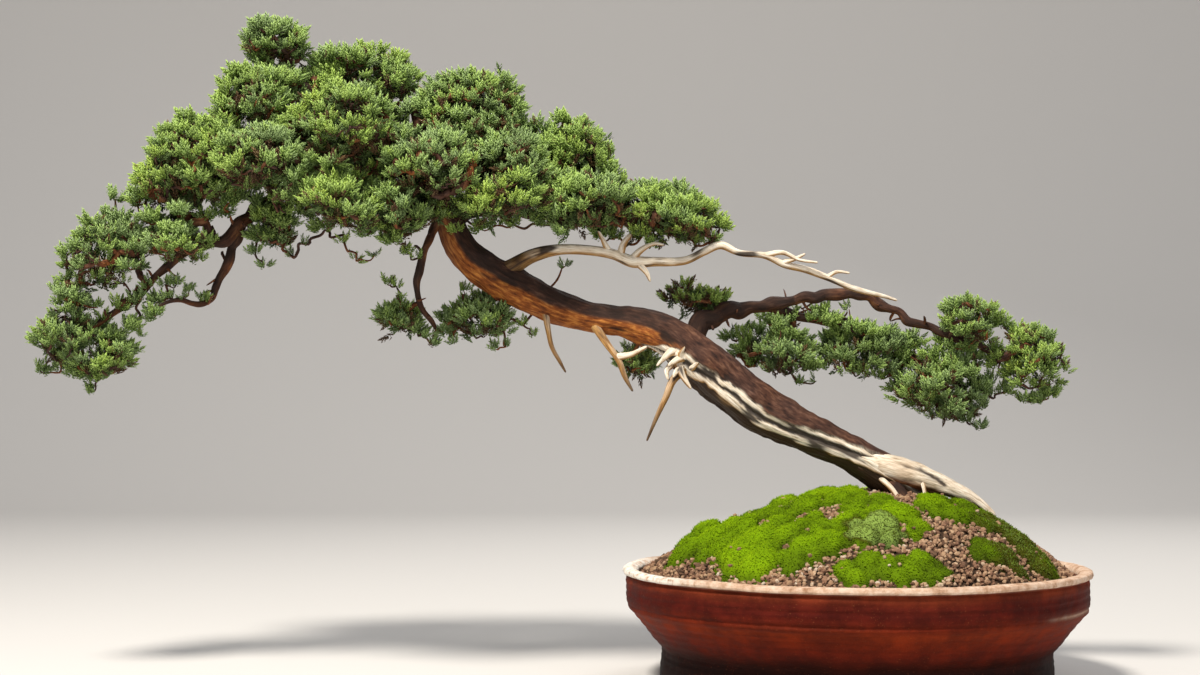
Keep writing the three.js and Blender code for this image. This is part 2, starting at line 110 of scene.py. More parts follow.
JINS = {
    "jin_long": [
        [-276, 1, 327, 7.2], [-255, -6, 338, 5.6], [-235, -10, 342, 4.5], [-211, -12, 341, 4.1],
        [-193, -12, 338, 4.3], [-177, -12, 332, 4.8], [-159, -12, 332, 3.8], [-135, -12, 333, 3.5],
        [-120, -13, 340, 3.3], [-107, -14, 345, 3.2], [-93, -14, 339, 2.7], [-72, -12, 337, 2.7],
        [-56, -10, 330, 2.9], [-39, -8, 326, 2.9], [-20, -6, 319, 2.6], [-3, -4, 312, 2.4],
        [12, 0, 308, 2.1], [26, 4, 305, 1.6], [36, 6, 302, 1],
    ],
    "jin_hook": [
        [-247, -1, 296, 3.8], [-244, -8, 277, 2.6], [-241, -12, 264, 2.2], [-235, -14, 253, 1.8],
        [-230, -15, 244, 0.9],
    ],
    "jin_fork": [
        [-208, -3, 283, 4.4], [-197, -14, 266, 3.3], [-188, -18, 253, 2.8], [-183, -20, 240, 2.3],
        [-177, -21, 229, 1],
    ],
    "jin_spike": [
        [-129, -7, 250, 6], [-144, -17, 239, 4], [-151, -22, 224, 3], [-158, -24, 209, 2.1],
        [-166, -26, 190, 0.9],
    ],
}
# Short dead stubs and spurs that stand out of a jin or of the trunk's bare strip.
SPURS = {
    "jin_long": [
        [[-187, -12, 336, 3.4], [-184, -13, 346, 2.6], [-178, -13, 354, 1.6]],
        [[-178, -12, 333, 3.2], [-170, -15, 341, 2.4], [-160, -16, 346, 1.6], [-152, -16, 345, 0.8]],
        [[-195, -12, 338, 3], [-200, -15, 348, 2], [-204, -16, 356, 1]],
        [[-173, -12, 331, 3], [-166, -16, 323, 2], [-163, -17, 316, 1]],
        [[-72, -12, 337, 2.4], [-58, -14, 339, 1.8], [-44, -15, 333, 1.3], [-30, -15, 331, 0.8]],
        [[-60, -10, 331, 2.2], [-48, -14, 334, 1.6], [-40, -15, 338, 0.8]],
        [[-22, -6, 320, 2], [-14, -9, 324, 1.4], [-4, -10, 323, 0.8]],
    ],
    "jin_fork": [[[-189, -17, 256, 3], [-178, -22, 258, 2.2], [-166, -24, 264, 1.2]]],
}
TRUNK_SPURS = [
    [[-142, -13, 262, 3.4], [-148, -18, 259, 2.8], [-154, -20, 253, 1.6], [-158, -21, 249, 0.8]],
    [[-141, -14, 251, 3.4], [-138, -20, 242, 2.6], [-134, -22, 235, 1.8], [-131, -23, 231, 0.9]],
    [[-139, -13, 252, 3.0], [-139, -19, 259, 1.8], [-136, -21, 264, 0.8]],
    [[-131, -14, 246, 3.0], [-127, -20, 250, 1.7], [-124, -22, 253, 0.8]],
    [[-146, -12, 250, 3.0], [-150, -18, 245, 2.0], [-149, -21, 238, 0.9]],
    [[-136, -14, 256, 3.2], [-143, -19, 253, 2.4], [-149, -22, 249, 1.2]],
    [[-137, -14, 248, 3.2], [-142, -19, 245, 2.4], [-145, -22, 240, 1.0]],
]
ROOTLETS = [
    [[52, -8, 160, 2.0], [53, -18, 152, 1.6], [54, -25, 137, 1.5]],
    [[20, -8, 160, 2.4], [28, -19, 151, 2.0], [36, -27, 137, 1.7]],
]


# ---- small tools --------------------------------------------------------------------------------
LATTICE = np.random.default_rng(11).uniform(-1, 1, 65536)


def noise(points, cell, seed=0):
    """Smooth noise between -1 and 1 at each point, with lumps about one cell across."""
    place = np.asarray(points, float) / cell + 31.7 * seed
    corner = np.floor(place).astype(np.int64)
    t = place - corner
    t = t * t * (3 - 2 * t)
    total = np.zeros(place.shape[:-1])
    for dx in (0, 1):
        for dy in (0, 1):
            for dz in (0, 1):
                key = (
                    (corner[..., 0] + dx) * 73856093
                    ^ (corner[..., 1] + dy) * 19349663
                    ^ (corner[..., 2] + dz) * 83492791
                )
                weight = (
                    (t[..., 0] if dx else 1 - t[..., 0])
                    * (t[..., 1] if dy else 1 - t[..., 1])
                    * (t[..., 2] if dz else 1 - t[..., 2])
                )
                total += weight * LATTICE[key & 65535]
    return total


def unit(vectors):
    return vectors / np.maximum(np.linalg.norm(vectors, axis=-1, keepdims=True), 1e-9)


def smoothstep(low, high, value):
    t = np.clip((value - low) / (high - low), 0, 1)
    return t * t * (3 - 2 * t)


def make_piece(name, blocks, material, replaces=(), smooth=True):
    """One mesh object from blocks of points, triangles, corner UVs and point attributes."""
    counts = np.cumsum([0] + [len(b["points"]) for b in blocks])
    points = np.vstack([b["points"] for b in blocks]) * MM
    faces = np.vstack([b["faces"] + start for b, start in zip(blocks, counts)])
    mesh = bpy.data.meshes.new(name)
    mesh.vertices.add(len(points))
    mesh.vertices.foreach_set("co", points.ravel())
    mesh.loops.add(3 * len(faces))
    mesh.loops.foreach_set("vertex_index", faces.ravel().astype(np.int32))
    mesh.polygons.add(len(faces))
    mesh.polygons.foreach_set("loop_start", np.arange(0, 3 * len(faces), 3, dtype=np.int32))
    mesh.update(calc_edges=True)
    mesh.polygons.foreach_set("use_smooth", np.full(len(faces), smooth))
    for key in blocks[0]["values"]:
        values = np.concatenate([b["values"][key] for b in blocks])
        vector = values.ndim == 2
        layer = mesh.attributes.new(key, "FLOAT_VECTOR" if vector else "FLOAT", "POINT")
        layer.data.foreach_set("vector" if vector else "value", values.ravel())
    if "uv" in blocks[0]:
        layer = mesh.uv_layers.new(name="OFBake")
        layer.data.foreach_set("uv", np.vstack([b["uv"].reshape(-1, 2) for b in blocks]).ravel())
    mesh.materials.append(material)
    piece = bpy.data.objects.new(name, mesh)
    bpy.context.scene.collection.objects.link(piece)
    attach(piece, "root")
    if replaces:
        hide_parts(*replaces)
    return piece


def smooth_path(points, step):
    """Points about one step apart along the CAD's kind of curve, and how far along each one is."""
    control = np.array(points, float)
    ends = np.vstack([2 * control[0] - control[1], control, 2 * control[-1] - control[-2]])
    gaps = np.linalg.norm(np.diff(ends[:, :3], axis=0), axis=1) ** 0.5
    knots = np.concatenate([[0], np.cumsum(gaps)])
    pieces = []
    for i in range(1, len(ends) - 2):
        t = np.linspace(knots[i], knots[i + 1], 16, endpoint=False)[:, None]
        k, p = knots[i - 1:i + 3], ends[i - 1:i + 3]
        a = [((k[j + 1] - t) * p[j] + (t - k[j]) * p[j + 1]) / (k[j + 1] - k[j]) for j in range(3)]
        b = [((k[j + 2] - t) * a[j] + (t - k[j]) * a[j + 1]) / (k[j + 2] - k[j]) for j in range(2)]
        pieces.append(((k[2] - t) * b[0] + (t - k[1]) * b[1]) / (k[2] - k[1]))
    path = np.vstack([*pieces, control[-1:]])
    run = np.concatenate([[0], np.cumsum(np.linalg.norm(np.diff(path[:, :3], axis=0), axis=1))])
    along = np.linspace(0, run[-1], max(2, round(run[-1] / step)) + 1)
    return np.column_stack([np.interp(along, run, path[:, k]) for k in range(4)]), along


def frames_along(path, reference):
    """Unit tangents, and two unit vectors square to them that don't twist; the first starts at reference."""
    tangents = unit(np.gradient(path[:, :3], axis=0))
    side = np.array(reference, float)
    firsts = []
    for tangent in tangents:
        side = unit(side - tangent * (side @ tangent))
        firsts.append(side)
    firsts = np.array(firsts)
    return tangents, firsts, np.cross(tangents, firsts)


def ring_cells(rings, sides, first=0):
    """The cells between neighbouring rings of points: each one's ring and side, and its four corners."""
    ring, side = np.meshgrid(np.arange(rings - 1), np.arange(sides), indexing="ij")
    a = first + ring * sides + side
    b = first + ring * sides + (side + 1) % sides
    return ring, side, a, b, a + sides, b + sides


def skin_faces(rings, sides):
    """Triangles over rings of points, closed by a fan at each end. The two end points come last."""
    _, _, a, b, c, d = ring_cells(rings, sides)
    around = np.arange(sides)
    onward = (around + 1) % sides
    last = (rings - 1) * sides
    return np.vstack([
        np.stack([a, b, d], -1).reshape(-1, 3),
        np.stack([a, d, c], -1).reshape(-1, 3),
        np.stack([np.full(sides, rings * sides), onward, around], -1),
        np.stack([np.full(sides, rings * sides + 1), last + around, last + onward], -1),
    ])


def skin_map(rings, sides, cell):
    """The corners of skin_faces on the map, laid out inside one cell: left, bottom, right, top."""
    ring, side, *_ = ring_cells(rings, sides)
    around = np.arange(sides)
    left, bottom, right, top = cell

    def across(k):
        return left + (right - left) * (0.01 + 0.98 * k / sides)

    def corner(i, j):
        return np.stack([across(j), bottom + (top - bottom) * (0.02 + 0.96 * i / (rings - 1))], -1)

    def cap(pole, edge):
        shares = ((0.5, pole), (1.0, edge), (0.0, edge))
        return np.stack([
            np.stack([across(around + k), np.full(sides, bottom + (top - bottom) * v)], -1) for k, v in shares
        ], 1)

    here, above = corner(ring, side), corner(ring + 1, side + 1)
    return np.concatenate([
        np.stack([here, corner(ring, side + 1), above], 2).reshape(-1, 3, 2),
        np.stack([here, above, corner(ring + 1, side)], 2).reshape(-1, 3, 2),
        cap(0.0, 0.02),
        cap(1.0, 0.98)[:, [0, 2, 1]],
    ])


def tube(points, step, sides, relief=None, marks=None, reference=FRONT, cell=(0, 0, 1, 1)):
    """A closed tube along a route. relief(turn, along, place, radius) is how far its skin stands out, and
    marks(turn, place, radius, height) gives its point attributes. A turn of 90 degrees is the upper side,
    whichever way the route runs. cell is the tube's part of the map."""
    path, along = smooth_path(points, step)
    tangents, firsts, seconds = frames_along(path, reference)
    turn = np.linspace(0, 2 * math.pi, sides, endpoint=False)[None, :]
    turn = np.repeat(turn, len(path), 0)
    spread = np.repeat(along[:, None], sides, 1)
    out = np.cos(turn)[..., None] * firsts[:, None] + np.sin(turn)[..., None] * seconds[:, None]
    radius = np.repeat(path[:, 3:4], sides, 1)
    from_tip = np.clip((along[-1] - spread) / (1.5 * path[-1, 3]), 0, 1)
    radius = radius * np.sqrt(1 - (1 - from_tip) ** 2 * 0.75)
    skin = path[:, None, :3] + out * radius[..., None]
    turn = turn * (1 if seconds[:, 2].mean() > -0.2 else -1)
    height = relief(turn, spread, skin, radius) if relief else np.zeros_like(radius)
    skin = skin + out * height[..., None]
    grain = np.stack([np.cos(turn) * radius, np.sin(turn) * radius, spread], -1)
    ends = np.array([path[0, :3], path[-1, :3] + tangents[-1] * path[-1, 3] * 0.4])
    values = {"grain": np.vstack([grain.reshape(-1, 3), [[0, 0, 0], [0, 0, along[-1]]]]) * MM}
    for key, value in (marks(turn, skin, radius, height) if marks else {}).items():
        values[key] = np.concatenate([value.ravel(), [value[0].mean(), value[-1].mean()]])
    return {
        "points": np.vstack([skin.reshape(-1, 3), ends]),
        "faces": skin_faces(len(path), sides),
        "uv": skin_map(len(path), sides, cell),
        "values": values,
    }


# ---- materials ----------------------------------------------------------------------------------
class Finish:
    """A Principled material, with short calls that add nodes to it."""

    def __init__(self, name, roughness=0.7, specular=0.3):
        self.material = bpy.data.materials.new(name)
        self.material.use_nodes = True
        self.tree = self.material.node_tree
        self.shader = self.tree.nodes["Principled BSDF"]
        self.shader.inputs["Roughness"].default_value = roughness
        self.shader.inputs["Specular IOR Level"].default_value = specular

    def node(self, kind, **settings):
        node = self.tree.nodes.new(kind)
        for key, value in settings.items():
            setattr(node, key, value)
        return node

    def feed(self, socket, value):
        if isinstance(value, bpy.types.NodeSocket):
            self.tree.links.new(value, socket)
        else:
            socket.default_value = value

    def value(self, name):
        return self.node("ShaderNodeAttribute", attribute_name=name).outputs["Fac"]

    def vector(self, name):
        return self.node("ShaderNodeAttribute", attribute_name=name).outputs["Vector"]

    def place(self):
        return self.node("ShaderNodeTexCoord").outputs["Object"]

    def stretched(self, vector, scale):
        node = self.node("ShaderNodeMapping")
        self.feed(node.inputs["Vector"], vector)
        node.inputs["Scale"].default_value = scale
        return node.outputs["Vector"]

    def noise(self, vector, scale, detail=4.0, roughness=0.55):
        node = self.node("ShaderNodeTexNoise")
        self.feed(node.inputs["Vector"], vector)
        node.inputs["Scale"].default_value = scale
        node.inputs["Detail"].default_value = detail
        node.inputs["Roughness"].default_value = roughness
        return node.outputs["Fac"]

    def ramp(self, value, stops):
        node = self.node("ShaderNodeValToRGB")
        node.color_ramp.interpolation = "LINEAR"
        while len(node.color_ramp.elements) < len(stops):
            node.color_ramp.elements.new(0.5)
        for element, (position, colour) in zip(node.color_ramp.elements, stops):
            element.position = position
            element.color = (*colour, 1) if len(colour) == 3 else colour
        self.feed(node.inputs["Fac"], value)
        return node.outputs["Color"]

    def grey(self, value, low, high):
        """0 at low and 1 at high, smoothly."""
        node = self.node("ShaderNodeMapRange", interpolation_type="SMOOTHSTEP")
        self.feed(node.inputs["Value"], value)
        node.inputs["From Min"].default_value = low
        node.inputs["From Max"].default_value = high
        return node.outputs["Result"]

    def mix(self, factor, a, b):
        node = self.node("ShaderNodeMix", data_type="RGBA", blend_type="MIX")
        self.feed(node.inputs["Factor"], factor)
        inputs = [s for s in node.inputs if s.type == "RGBA"]
        for socket, colour in zip(inputs, (a, b)):
            self.feed(socket, colour if isinstance(colour, bpy.types.NodeSocket) else (*colour, 1))
        return [s for s in node.outputs if s.type == "RGBA"][0]

    def math(self, operation, a, b=0.0):
        node = self.node("ShaderNodeMath", operation=operation)
        self.feed(node.inputs[0], a)
        self.feed(node.inputs[1], b)
        return node.outputs["Value"]

    def finish(self, colour, roughness=None, height=None, strength=0.5, distance=0.001):
        self.feed(self.shader.inputs["Base Color"], colour)
        if roughness is not None:
            self.feed(self.shader.inputs["Roughness"], roughness)
        if height is not None:
            bump = self.node("ShaderNodeBump")
            bump.inputs["Strength"].default_value = strength
            bump.inputs["Distance"].default_value = distance
            self.feed(bump.inputs["Height"], height)
            self.feed(self.shader.inputs["Normal"], bump.outputs["Normal"])
        return self.material


def wood_finish():
    """Bark and bleached deadwood in one material: bare is 1 on deadwood, and warm is its rusty side, which on
    the left trunk's lower side is partly painted light. deep darkens it toward near black: painted shade in
    cracks, under the trunk and on the left trunk's upper side in the canopy's shadow, and on the branches
    also the bark's own dark colour. The grain attribute runs along the limb, so fibres follow every bend."""
    f = Finish("wood", 0.75, 0.25)
    grain = f.vector("grain")
    bare, warm, deep = f.value("bare"), f.value("warm"), f.value("deep")
    fibre = f.noise(f.stretched(grain, (1, 1, 0.10)), 900, 5, 0.6)
    streak = f.noise(f.stretched(grain, (1, 1, 0.06)), 260, 3, 0.5)
    flake = f.noise(f.stretched(grain, (1, 1, 0.25)), 420, 4, 0.6)
    dark_bark = f.ramp(flake, [
        (0.28, (0.012, 0.006, 0.005)), (0.52, (0.056, 0.027, 0.020)), (0.78, (0.150, 0.082, 0.064)),
    ])
    rust_bark = f.ramp(flake, [
        (0.28, (0.040, 0.009, 0.003)), (0.50, (0.250, 0.070, 0.012)), (0.76, (0.600, 0.245, 0.050)),
    ])
    rust_and_lit_side = f.math("MULTIPLY", warm, f.grey(streak, 0.10, 0.45))
    bark = f.mix(rust_and_lit_side, dark_bark, rust_bark)
    cream = f.ramp(fibre, [
        (0.28, (0.300, 0.210, 0.130)), (0.42, (0.700, 0.580, 0.430)), (0.66, (0.930, 0.860, 0.740)),
    ])
    gold = f.ramp(fibre, [
        (0.28, (0.090, 0.038, 0.011)), (0.50, (0.320, 0.160, 0.045)), (0.76, (0.580, 0.350, 0.120)),
    ])
    dead = f.mix(f.math("MULTIPLY", warm, f.grey(streak, 0.0, 0.45)), cream, gold)
    colour = f.mix(bare, bark, dead)
    # deep paints shade: near black in cracks, under the trunk and on the left trunk's upper side in the
    # canopy's shadow
    colour = f.mix(f.math("MULTIPLY", deep, 0.93), colour, (0.019, 0.010, 0.007))
    height = f.math("ADD", fibre, f.math("MULTIPLY", flake, 0.8))
    roughness = f.ramp(bare, [(0.0, (0.82,) * 3), (1.0, (0.62,) * 3)])
    return f.finish(colour, roughness, height, 0.55, 0.0012)


def tufted_finish(name, base_stops, tip_stops, tip_power, roughness, specular=0.25):
    """For crowds of tiny leaves, fuzz and grains: tone picks the hue and tip runs from foot to tip, and the
    map called OFBake holds the same two numbers."""
    f = Finish(name, roughness, specular)
    tone, tip = f.value("tone"), f.value("tip")
    toward_tip = f.math("POWER", tip, tip_power)
    return f.finish(f.mix(toward_tip, f.ramp(tone, base_stops), f.ramp(tone, tip_stops)))


def foliage_finish():
    base = [
        (0.00, (0.036, 0.014, 0.006)), (0.11, (0.065, 0.032, 0.011)), (0.16, (0.036, 0.064, 0.009)),
        (0.50, (0.060, 0.118, 0.010)), (1.00, (0.095, 0.165, 0.008)),
    ]
    tips = [
        (0.00, (0.130, 0.060, 0.026)), (0.11, (0.200, 0.125, 0.050)), (0.16, (0.200, 0.290, 0.105)),
        (0.36, (0.350, 0.480, 0.195)), (0.56, (0.410, 0.575, 0.155)), (0.78, (0.480, 0.655, 0.130)),
        (1.00, (0.580, 0.720, 0.120)),
    ]
    return tufted_finish("juniper_foliage", base, tips, 0.88, 0.55, 0.3)


def moss_finish():
    base = [
        (0.0, (0.040, 0.060, 0.016)), (0.1, (0.022, 0.018, 0.004)), (0.5, (0.030, 0.052, 0.003)),
        (1.0, (0.070, 0.110, 0.004)),
    ]
    tips = [
        (0.0, (0.300, 0.430, 0.085)), (0.1, (0.080, 0.085, 0.004)), (0.3, (0.105, 0.185, 0.003)),
        (0.6, (0.230, 0.400, 0.003)), (0.9, (0.370, 0.550, 0.006)),
    ]
    return tufted_finish("moss_cushion", base, tips, 0.7, 0.9, 0.04)


def soil_finish():
    base = [
        (0.00, (0.014, 0.009, 0.006)), (0.20, (0.060, 0.035, 0.022)), (0.40, (0.180, 0.095, 0.060)),
        (0.60, (0.300, 0.180, 0.110)), (0.80, (0.420, 0.280, 0.180)), (1.00, (0.500, 0.420, 0.340)),
    ]
    tips = [
        (0.00, (0.026, 0.016, 0.010)), (0.20, (0.095, 0.055, 0.032)), (0.40, (0.250, 0.132, 0.080)),
        (0.60, (0.360, 0.220, 0.125)), (0.80, (0.480, 0.325, 0.195)), (1.00, (0.580, 0.480, 0.360)),
    ]
    return tufted_finish("soil_grains", base, tips, 1.0, 0.9, 0.15)


def clay_finish():
    """Unglazed red clay, banded by height with painted shadow at the foot and a painted highlight on the
    belly's top, with a paler lip, its fired colour partly lightened as a painted highlight, and lime on its
    left end.
    """
    f = Finish("terracotta", 0.62, 0.07)
    place = f.place()
    separate = f.node("ShaderNodeSeparateXYZ")
    f.feed(separate.inputs["Vector"], place)
    drift = f.math("MULTIPLY", f.math("SUBTRACT", f.noise(place, 14, 3), 0.5), 0.010)
    level = f.math("DIVIDE", f.math("ADD", separate.outputs["Z"], drift), 0.0905)
    # By height: the near-black low bands are painted shadow at the foot, and the bright band from 0.55 to
    # 0.61 is a painted highlight on the belly's top.
    painted_light_bands = [
        (0.00, (0.007, 0.002, 0.002)), (0.22, (0.012, 0.003, 0.002)), (0.31, (0.026, 0.004, 0.002)),
        (0.44, (0.105, 0.010, 0.003)), (0.55, (0.150, 0.016, 0.003)), (0.61, (0.165, 0.020, 0.004)),
        (0.68, (0.095, 0.010, 0.003)), (0.76, (0.064, 0.006, 0.003)), (0.84, (0.082, 0.009, 0.004)),
        (0.91, (0.150, 0.024, 0.008)),
    ]
    pale, dark = ([(at, tuple(gain * c for c in tint)) for at, tint in painted_light_bands] for gain in (1.35, 0.72))
    mottle = f.noise(place, 55, 6, 0.65)
    streaks = f.noise(f.stretched(place, (0.25, 0.25, 6.0)), 60, 4, 0.6)
    body = f.mix(f.grey(mottle, 0.35, 0.70), f.ramp(level, dark), f.ramp(level, pale))
    body = f.mix(f.math("MULTIPLY", f.grey(streaks, 0.45, 0.75), 0.30), body, (0.030, 0.004, 0.002))
    speck = f.grey(f.noise(place, 900, 2, 0.4), 0.66, 0.74)
    body = f.mix(f.math("MULTIPLY", speck, 0.35), body, (0.260, 0.080, 0.030))
    # The lip: paler fired clay, lightened further as a painted highlight on its top, plus a painted highlight
    # line on the ridge at the right front.
    lip = f.ramp(f.noise(place, 130, 5, 0.7), [
        (0.30, (0.300, 0.160, 0.088)), (0.46, (0.520, 0.340, 0.230)), (0.62, (0.660, 0.500, 0.380)),
    ])
    colour = f.mix(f.value("lip"), body, lip)
    crust = f.math("MULTIPLY", f.value("lime"), f.grey(f.noise(place, 160, 6, 0.7), 0.38, 0.55))
    colour = f.mix(crust, colour, (0.780, 0.740, 0.660))
    height = f.math("ADD", f.noise(place, 700, 4, 0.6), f.math("MULTIPLY", streaks, 0.8))
    roughness = f.ramp(mottle, [(0.3, (0.55,) * 3), (0.7, (0.75,) * 3)])
    return f.finish(colour, roughness, height, 0.35, 0.0008)


def screen_finish():
    f = Finish("black_mesh", 0.5, 0.4)
    worn = f.noise(f.place(), 300, 3)
    return f.finish(f.ramp(worn, [(0.3, (0.012, 0.013, 0.015)), (0.7, (0.040, 0.042, 0.046))]))


WOOD = wood_finish()
FOLIAGE = foliage_finish()
MOSS = moss_finish()
SOIL = soil_finish()
CLAY = clay_finish()
SCREEN = screen_finish()

# ---- camera, light and floor ------------------------------------------------------------------
CAMERA_PLACE = (-0.2028, -1.560, 0.225)
CAMERA_LENS = 58.5
CAMERA_TILT = math.radians(1.726)  # looking very slightly up


def add_camera():
    camera = bpy.data.cameras.new("camera")
    camera.lens = CAMERA_LENS
    camera.sensor_width = 36
    holder = bpy.data.objects.new("camera", camera)
    holder.location = CAMERA_PLACE
    holder.rotation_euler = (math.radians(90) + CAMERA_TILT, 0, 0)
    bpy.context.scene.collection.objects.link(holder)
    bpy.context.scene.camera = holder


def add_light(name, place, target, size, watts, colour=(1, 1, 1)):
    light = bpy.data.lights.new(name, "AREA")
    light.shape = "DISK"
    light.size = size
    light.energy = watts
    light.color = colour
    holder = bpy.data.objects.new(name, light)
    holder.location = place
    holder.rotation_euler = (Vector(target) - Vector(place)).to_track_quat("-Z", "Y").to_euler()
    bpy.context.scene.collection.objects.link(holder)


def add_studio():
    """A pale floor that sweeps up into a wall behind, big soft lights and an even sky."""
    depth, reach, bend, height = 2.2, 6.0, 1.2, 5.0
    profile = [(-reach, 0.0), (depth, 0.0)]
    profile += [
        (depth + bend * math.sin(a), bend - bend * math.cos(a))
        for a in np.linspace(0, math.pi / 2, 17)[1:]
    ]
    profile.append((depth + bend, height))
    points = [(x, y, z) for y, z in profile for x in (-reach, reach)]
    faces = [(2 * i, 2 * i + 1, 2 * i + 3, 2 * i + 2) for i in range(len(profile) - 1)]
    mesh = bpy.data.meshes.new("studio_floor")
    mesh.from_pydata(points, [], faces)
    mesh.polygons.foreach_set("use_smooth", [True] * len(faces))
    f = Finish("studio_paper", 0.9, 0.1)
    mesh.materials.append(f.finish((0.62, 0.60, 0.575, 1)))
    floor = bpy.data.objects.new("studio_floor", mesh)
    bpy.context.scene.collection.objects.link(floor)
    middle = (-0.22, 0.0, 0.28)
    add_light("key", (-0.95, -1.25, 2.3), middle, 0.55, 98, (1.0, 0.95, 0.87))
    add_light("fill", (1.5, -2.0, 0.9), middle, 1.6, 13, (0.97, 0.98, 1.0))
    add_light("back", (0.6, 1.6, 2.0), middle, 1.2, 24, (1.0, 0.98, 0.95))
    world = bpy.data.worlds.new("sky")
    world.use_nodes = True
    world.node_tree.nodes["Background"].inputs["Color"].default_value = (0.90, 0.93, 1.0, 1)
    world.node_tree.nodes["Background"].inputs["Strength"].default_value = 0.36
    bpy.context.scene.world = world
    bpy.context.scene.view_settings.view_transform = "Standard"


# ---- pot ----------------------------------------------------------------------------------------
FLOOR_TOP = 12
DRAIN_OFFSET = 72
DRAIN_RADIUS = 10
POT_SECTORS = 256
POT_STEP = 1.6
POT_OUTSIDE = (4, 28)  # the points of the profile where its outer side starts and ends
CHANNEL_MIDDLE = 0.1495  # the drainage channels across the foot, in metres
CHANNEL_SIZE = (0.155, 0.009, 0.007)
# The pot's outline from the middle of its underside round to the middle of its floor: radius, height.
POT_PROFILE = [
    (0, 0), (60, 0), (120, 0), (153.5, 0), (155, 1.5), (155.2, 14), (154.6, 25), (156.5, 28.5), (161, 33),
    (167.5, 41.5), (173.5, 49), (178.5, 55), (181.6, 58.2), (182.2, 59.6), (181.9, 60.4), (181.9, 61.4),
    (182.5, 62.6), (183.2, 64.5), (183, 72), (183.2, 81.5), (181.8, 83.4), (182.6, 84.6), (185.2, 85.6),
    (186, 87.4), (185.4, 89.6), (182.5, 90.6), (178.5, 90.4), (175.4, 88.6), (173.4, 85), (171.2, 74),
    (168, 61), (160, 44), (151, 29), (147, 22), (139.5, 13.2), (137, 12), (70, 12), (0, 12),
]


def pot_rings():
    """Radius, height and angle of the pot's skin, ring by ring, and whether each ring is on its outside."""
    profile = np.array(POT_PROFILE, float)
    run = np.concatenate([[0], np.cumsum(np.linalg.norm(np.diff(profile, axis=0), axis=1))])
    along = np.unique(np.concatenate([np.arange(0, run[-1], POT_STEP), run]))
    r, z = np.interp(along, run, profile[:, 0]), np.interp(along, run, profile[:, 1])
    inner = slice(1, -1)
    radius = np.repeat(r[inner, None], POT_SECTORS, 1)
    height = np.repeat(z[inner, None], POT_SECTORS, 1)
    turn = np.linspace(0, 2 * math.pi, POT_SECTORS, endpoint=False)
    angle = np.repeat(turn[None], len(radius), 0)
    start, end = (run[k] for k in POT_OUTSIDE)
    return radius, height, angle, (along[inner, None] > start) & (along[inner, None] < end)


def pot_shape():
    """The fired clay: turned rings, small pits, a worn left end of the lip, and where the clay is pale: its
    lip, and a painted highlight line on the ridge at its right front.
    """
    radius, height, angle, outside = pot_rings()
    place = np.stack([np.cos(angle) * radius, np.sin(angle) * radius, height], -1)
    shaped = smoothstep(2, 24, height) * outside
    wobble = 1.1 * noise(place * (1, 1, 0.3), 90, 3) + 0.5 * noise(place * (1, 1, 2), 26, 4)
    rings = 0.28 * np.sin(height * 1.15 + 2.0 * noise(place, 120, 5)) * (height < 84)
    pits = 0.22 * noise(place, 2.4, 6) + 0.15 * noise(place, 1.1, 7)
    push = shaped * (wobble - 0.9 + rings) + outside * smoothstep(1, 4, height) * pits
    lip = smoothstep(84.2, 86.0, height) * (radius > 172)
    left_end = smoothstep(-0.72, -0.97, np.cos(angle - 0.12))
    chips = lip * left_end * 1.1 * noise(place, 5, 8)
    place[..., 0] += np.cos(angle) * (push + chips)
    place[..., 1] += np.sin(angle) * (push + chips)
    place[..., 2] += lip * (0.7 * noise(place * (1, 1, 0), 60, 9) + 0.35 * noise(place, 12, 10)) - 0.8 * lip
    # Painted highlight: a pale line along the ridge on the right front, carried in the lip attribute.
    right_highlight = smoothstep(0.90, 0.99, np.cos(angle + 0.42))
    streak = right_highlight * np.exp(-((height - 61.2) / 1.5) ** 2) * outside
    return {
        "points": np.vstack([place.reshape(-1, 3), [[0, 0, 0], [0, 0, FLOOR_TOP]]]),
        "faces": skin_faces(len(radius), POT_SECTORS),
        "values": {
            "lip": np.concatenate([np.maximum(lip, 0.45 * streak).ravel(), [0, 0]]),
            "lime": np.concatenate([(lip * left_end).ravel(), [0, 0]]),
        },
    }


def add_pot():
    """The clay, with its drain holes and its drainage channels cut out."""
    pot = make_piece("pot_clay", [pot_shape()], CLAY, ["pot"])
    cutters = []
    for side in (-1, 1):
        bpy.ops.mesh.primitive_cylinder_add(
            vertices=48, radius=DRAIN_RADIUS * MM, depth=0.06, location=(side * DRAIN_OFFSET * MM, 0, 0),
        )
        cutters.append(bpy.context.object)
        bpy.ops.mesh.primitive_cube_add(size=1, location=(side * CHANNEL_MIDDLE, 0, 0), scale=CHANNEL_SIZE)
        cutters.append(bpy.context.object)
    for cutter in cutters:
        cut = pot.modifiers.new("cut", "BOOLEAN")
        cut.operation = "DIFFERENCE"
        cut.solver = "EXACT"
        cut.object = cutter
    shaped = bpy.data.meshes.new_from_object(pot.evaluated_get(bpy.context.evaluated_depsgraph_get()))
    pot.modifiers.clear()
    pot.data = shaped
    for cutter in cutters:
        bpy.data.objects.remove(cutter)


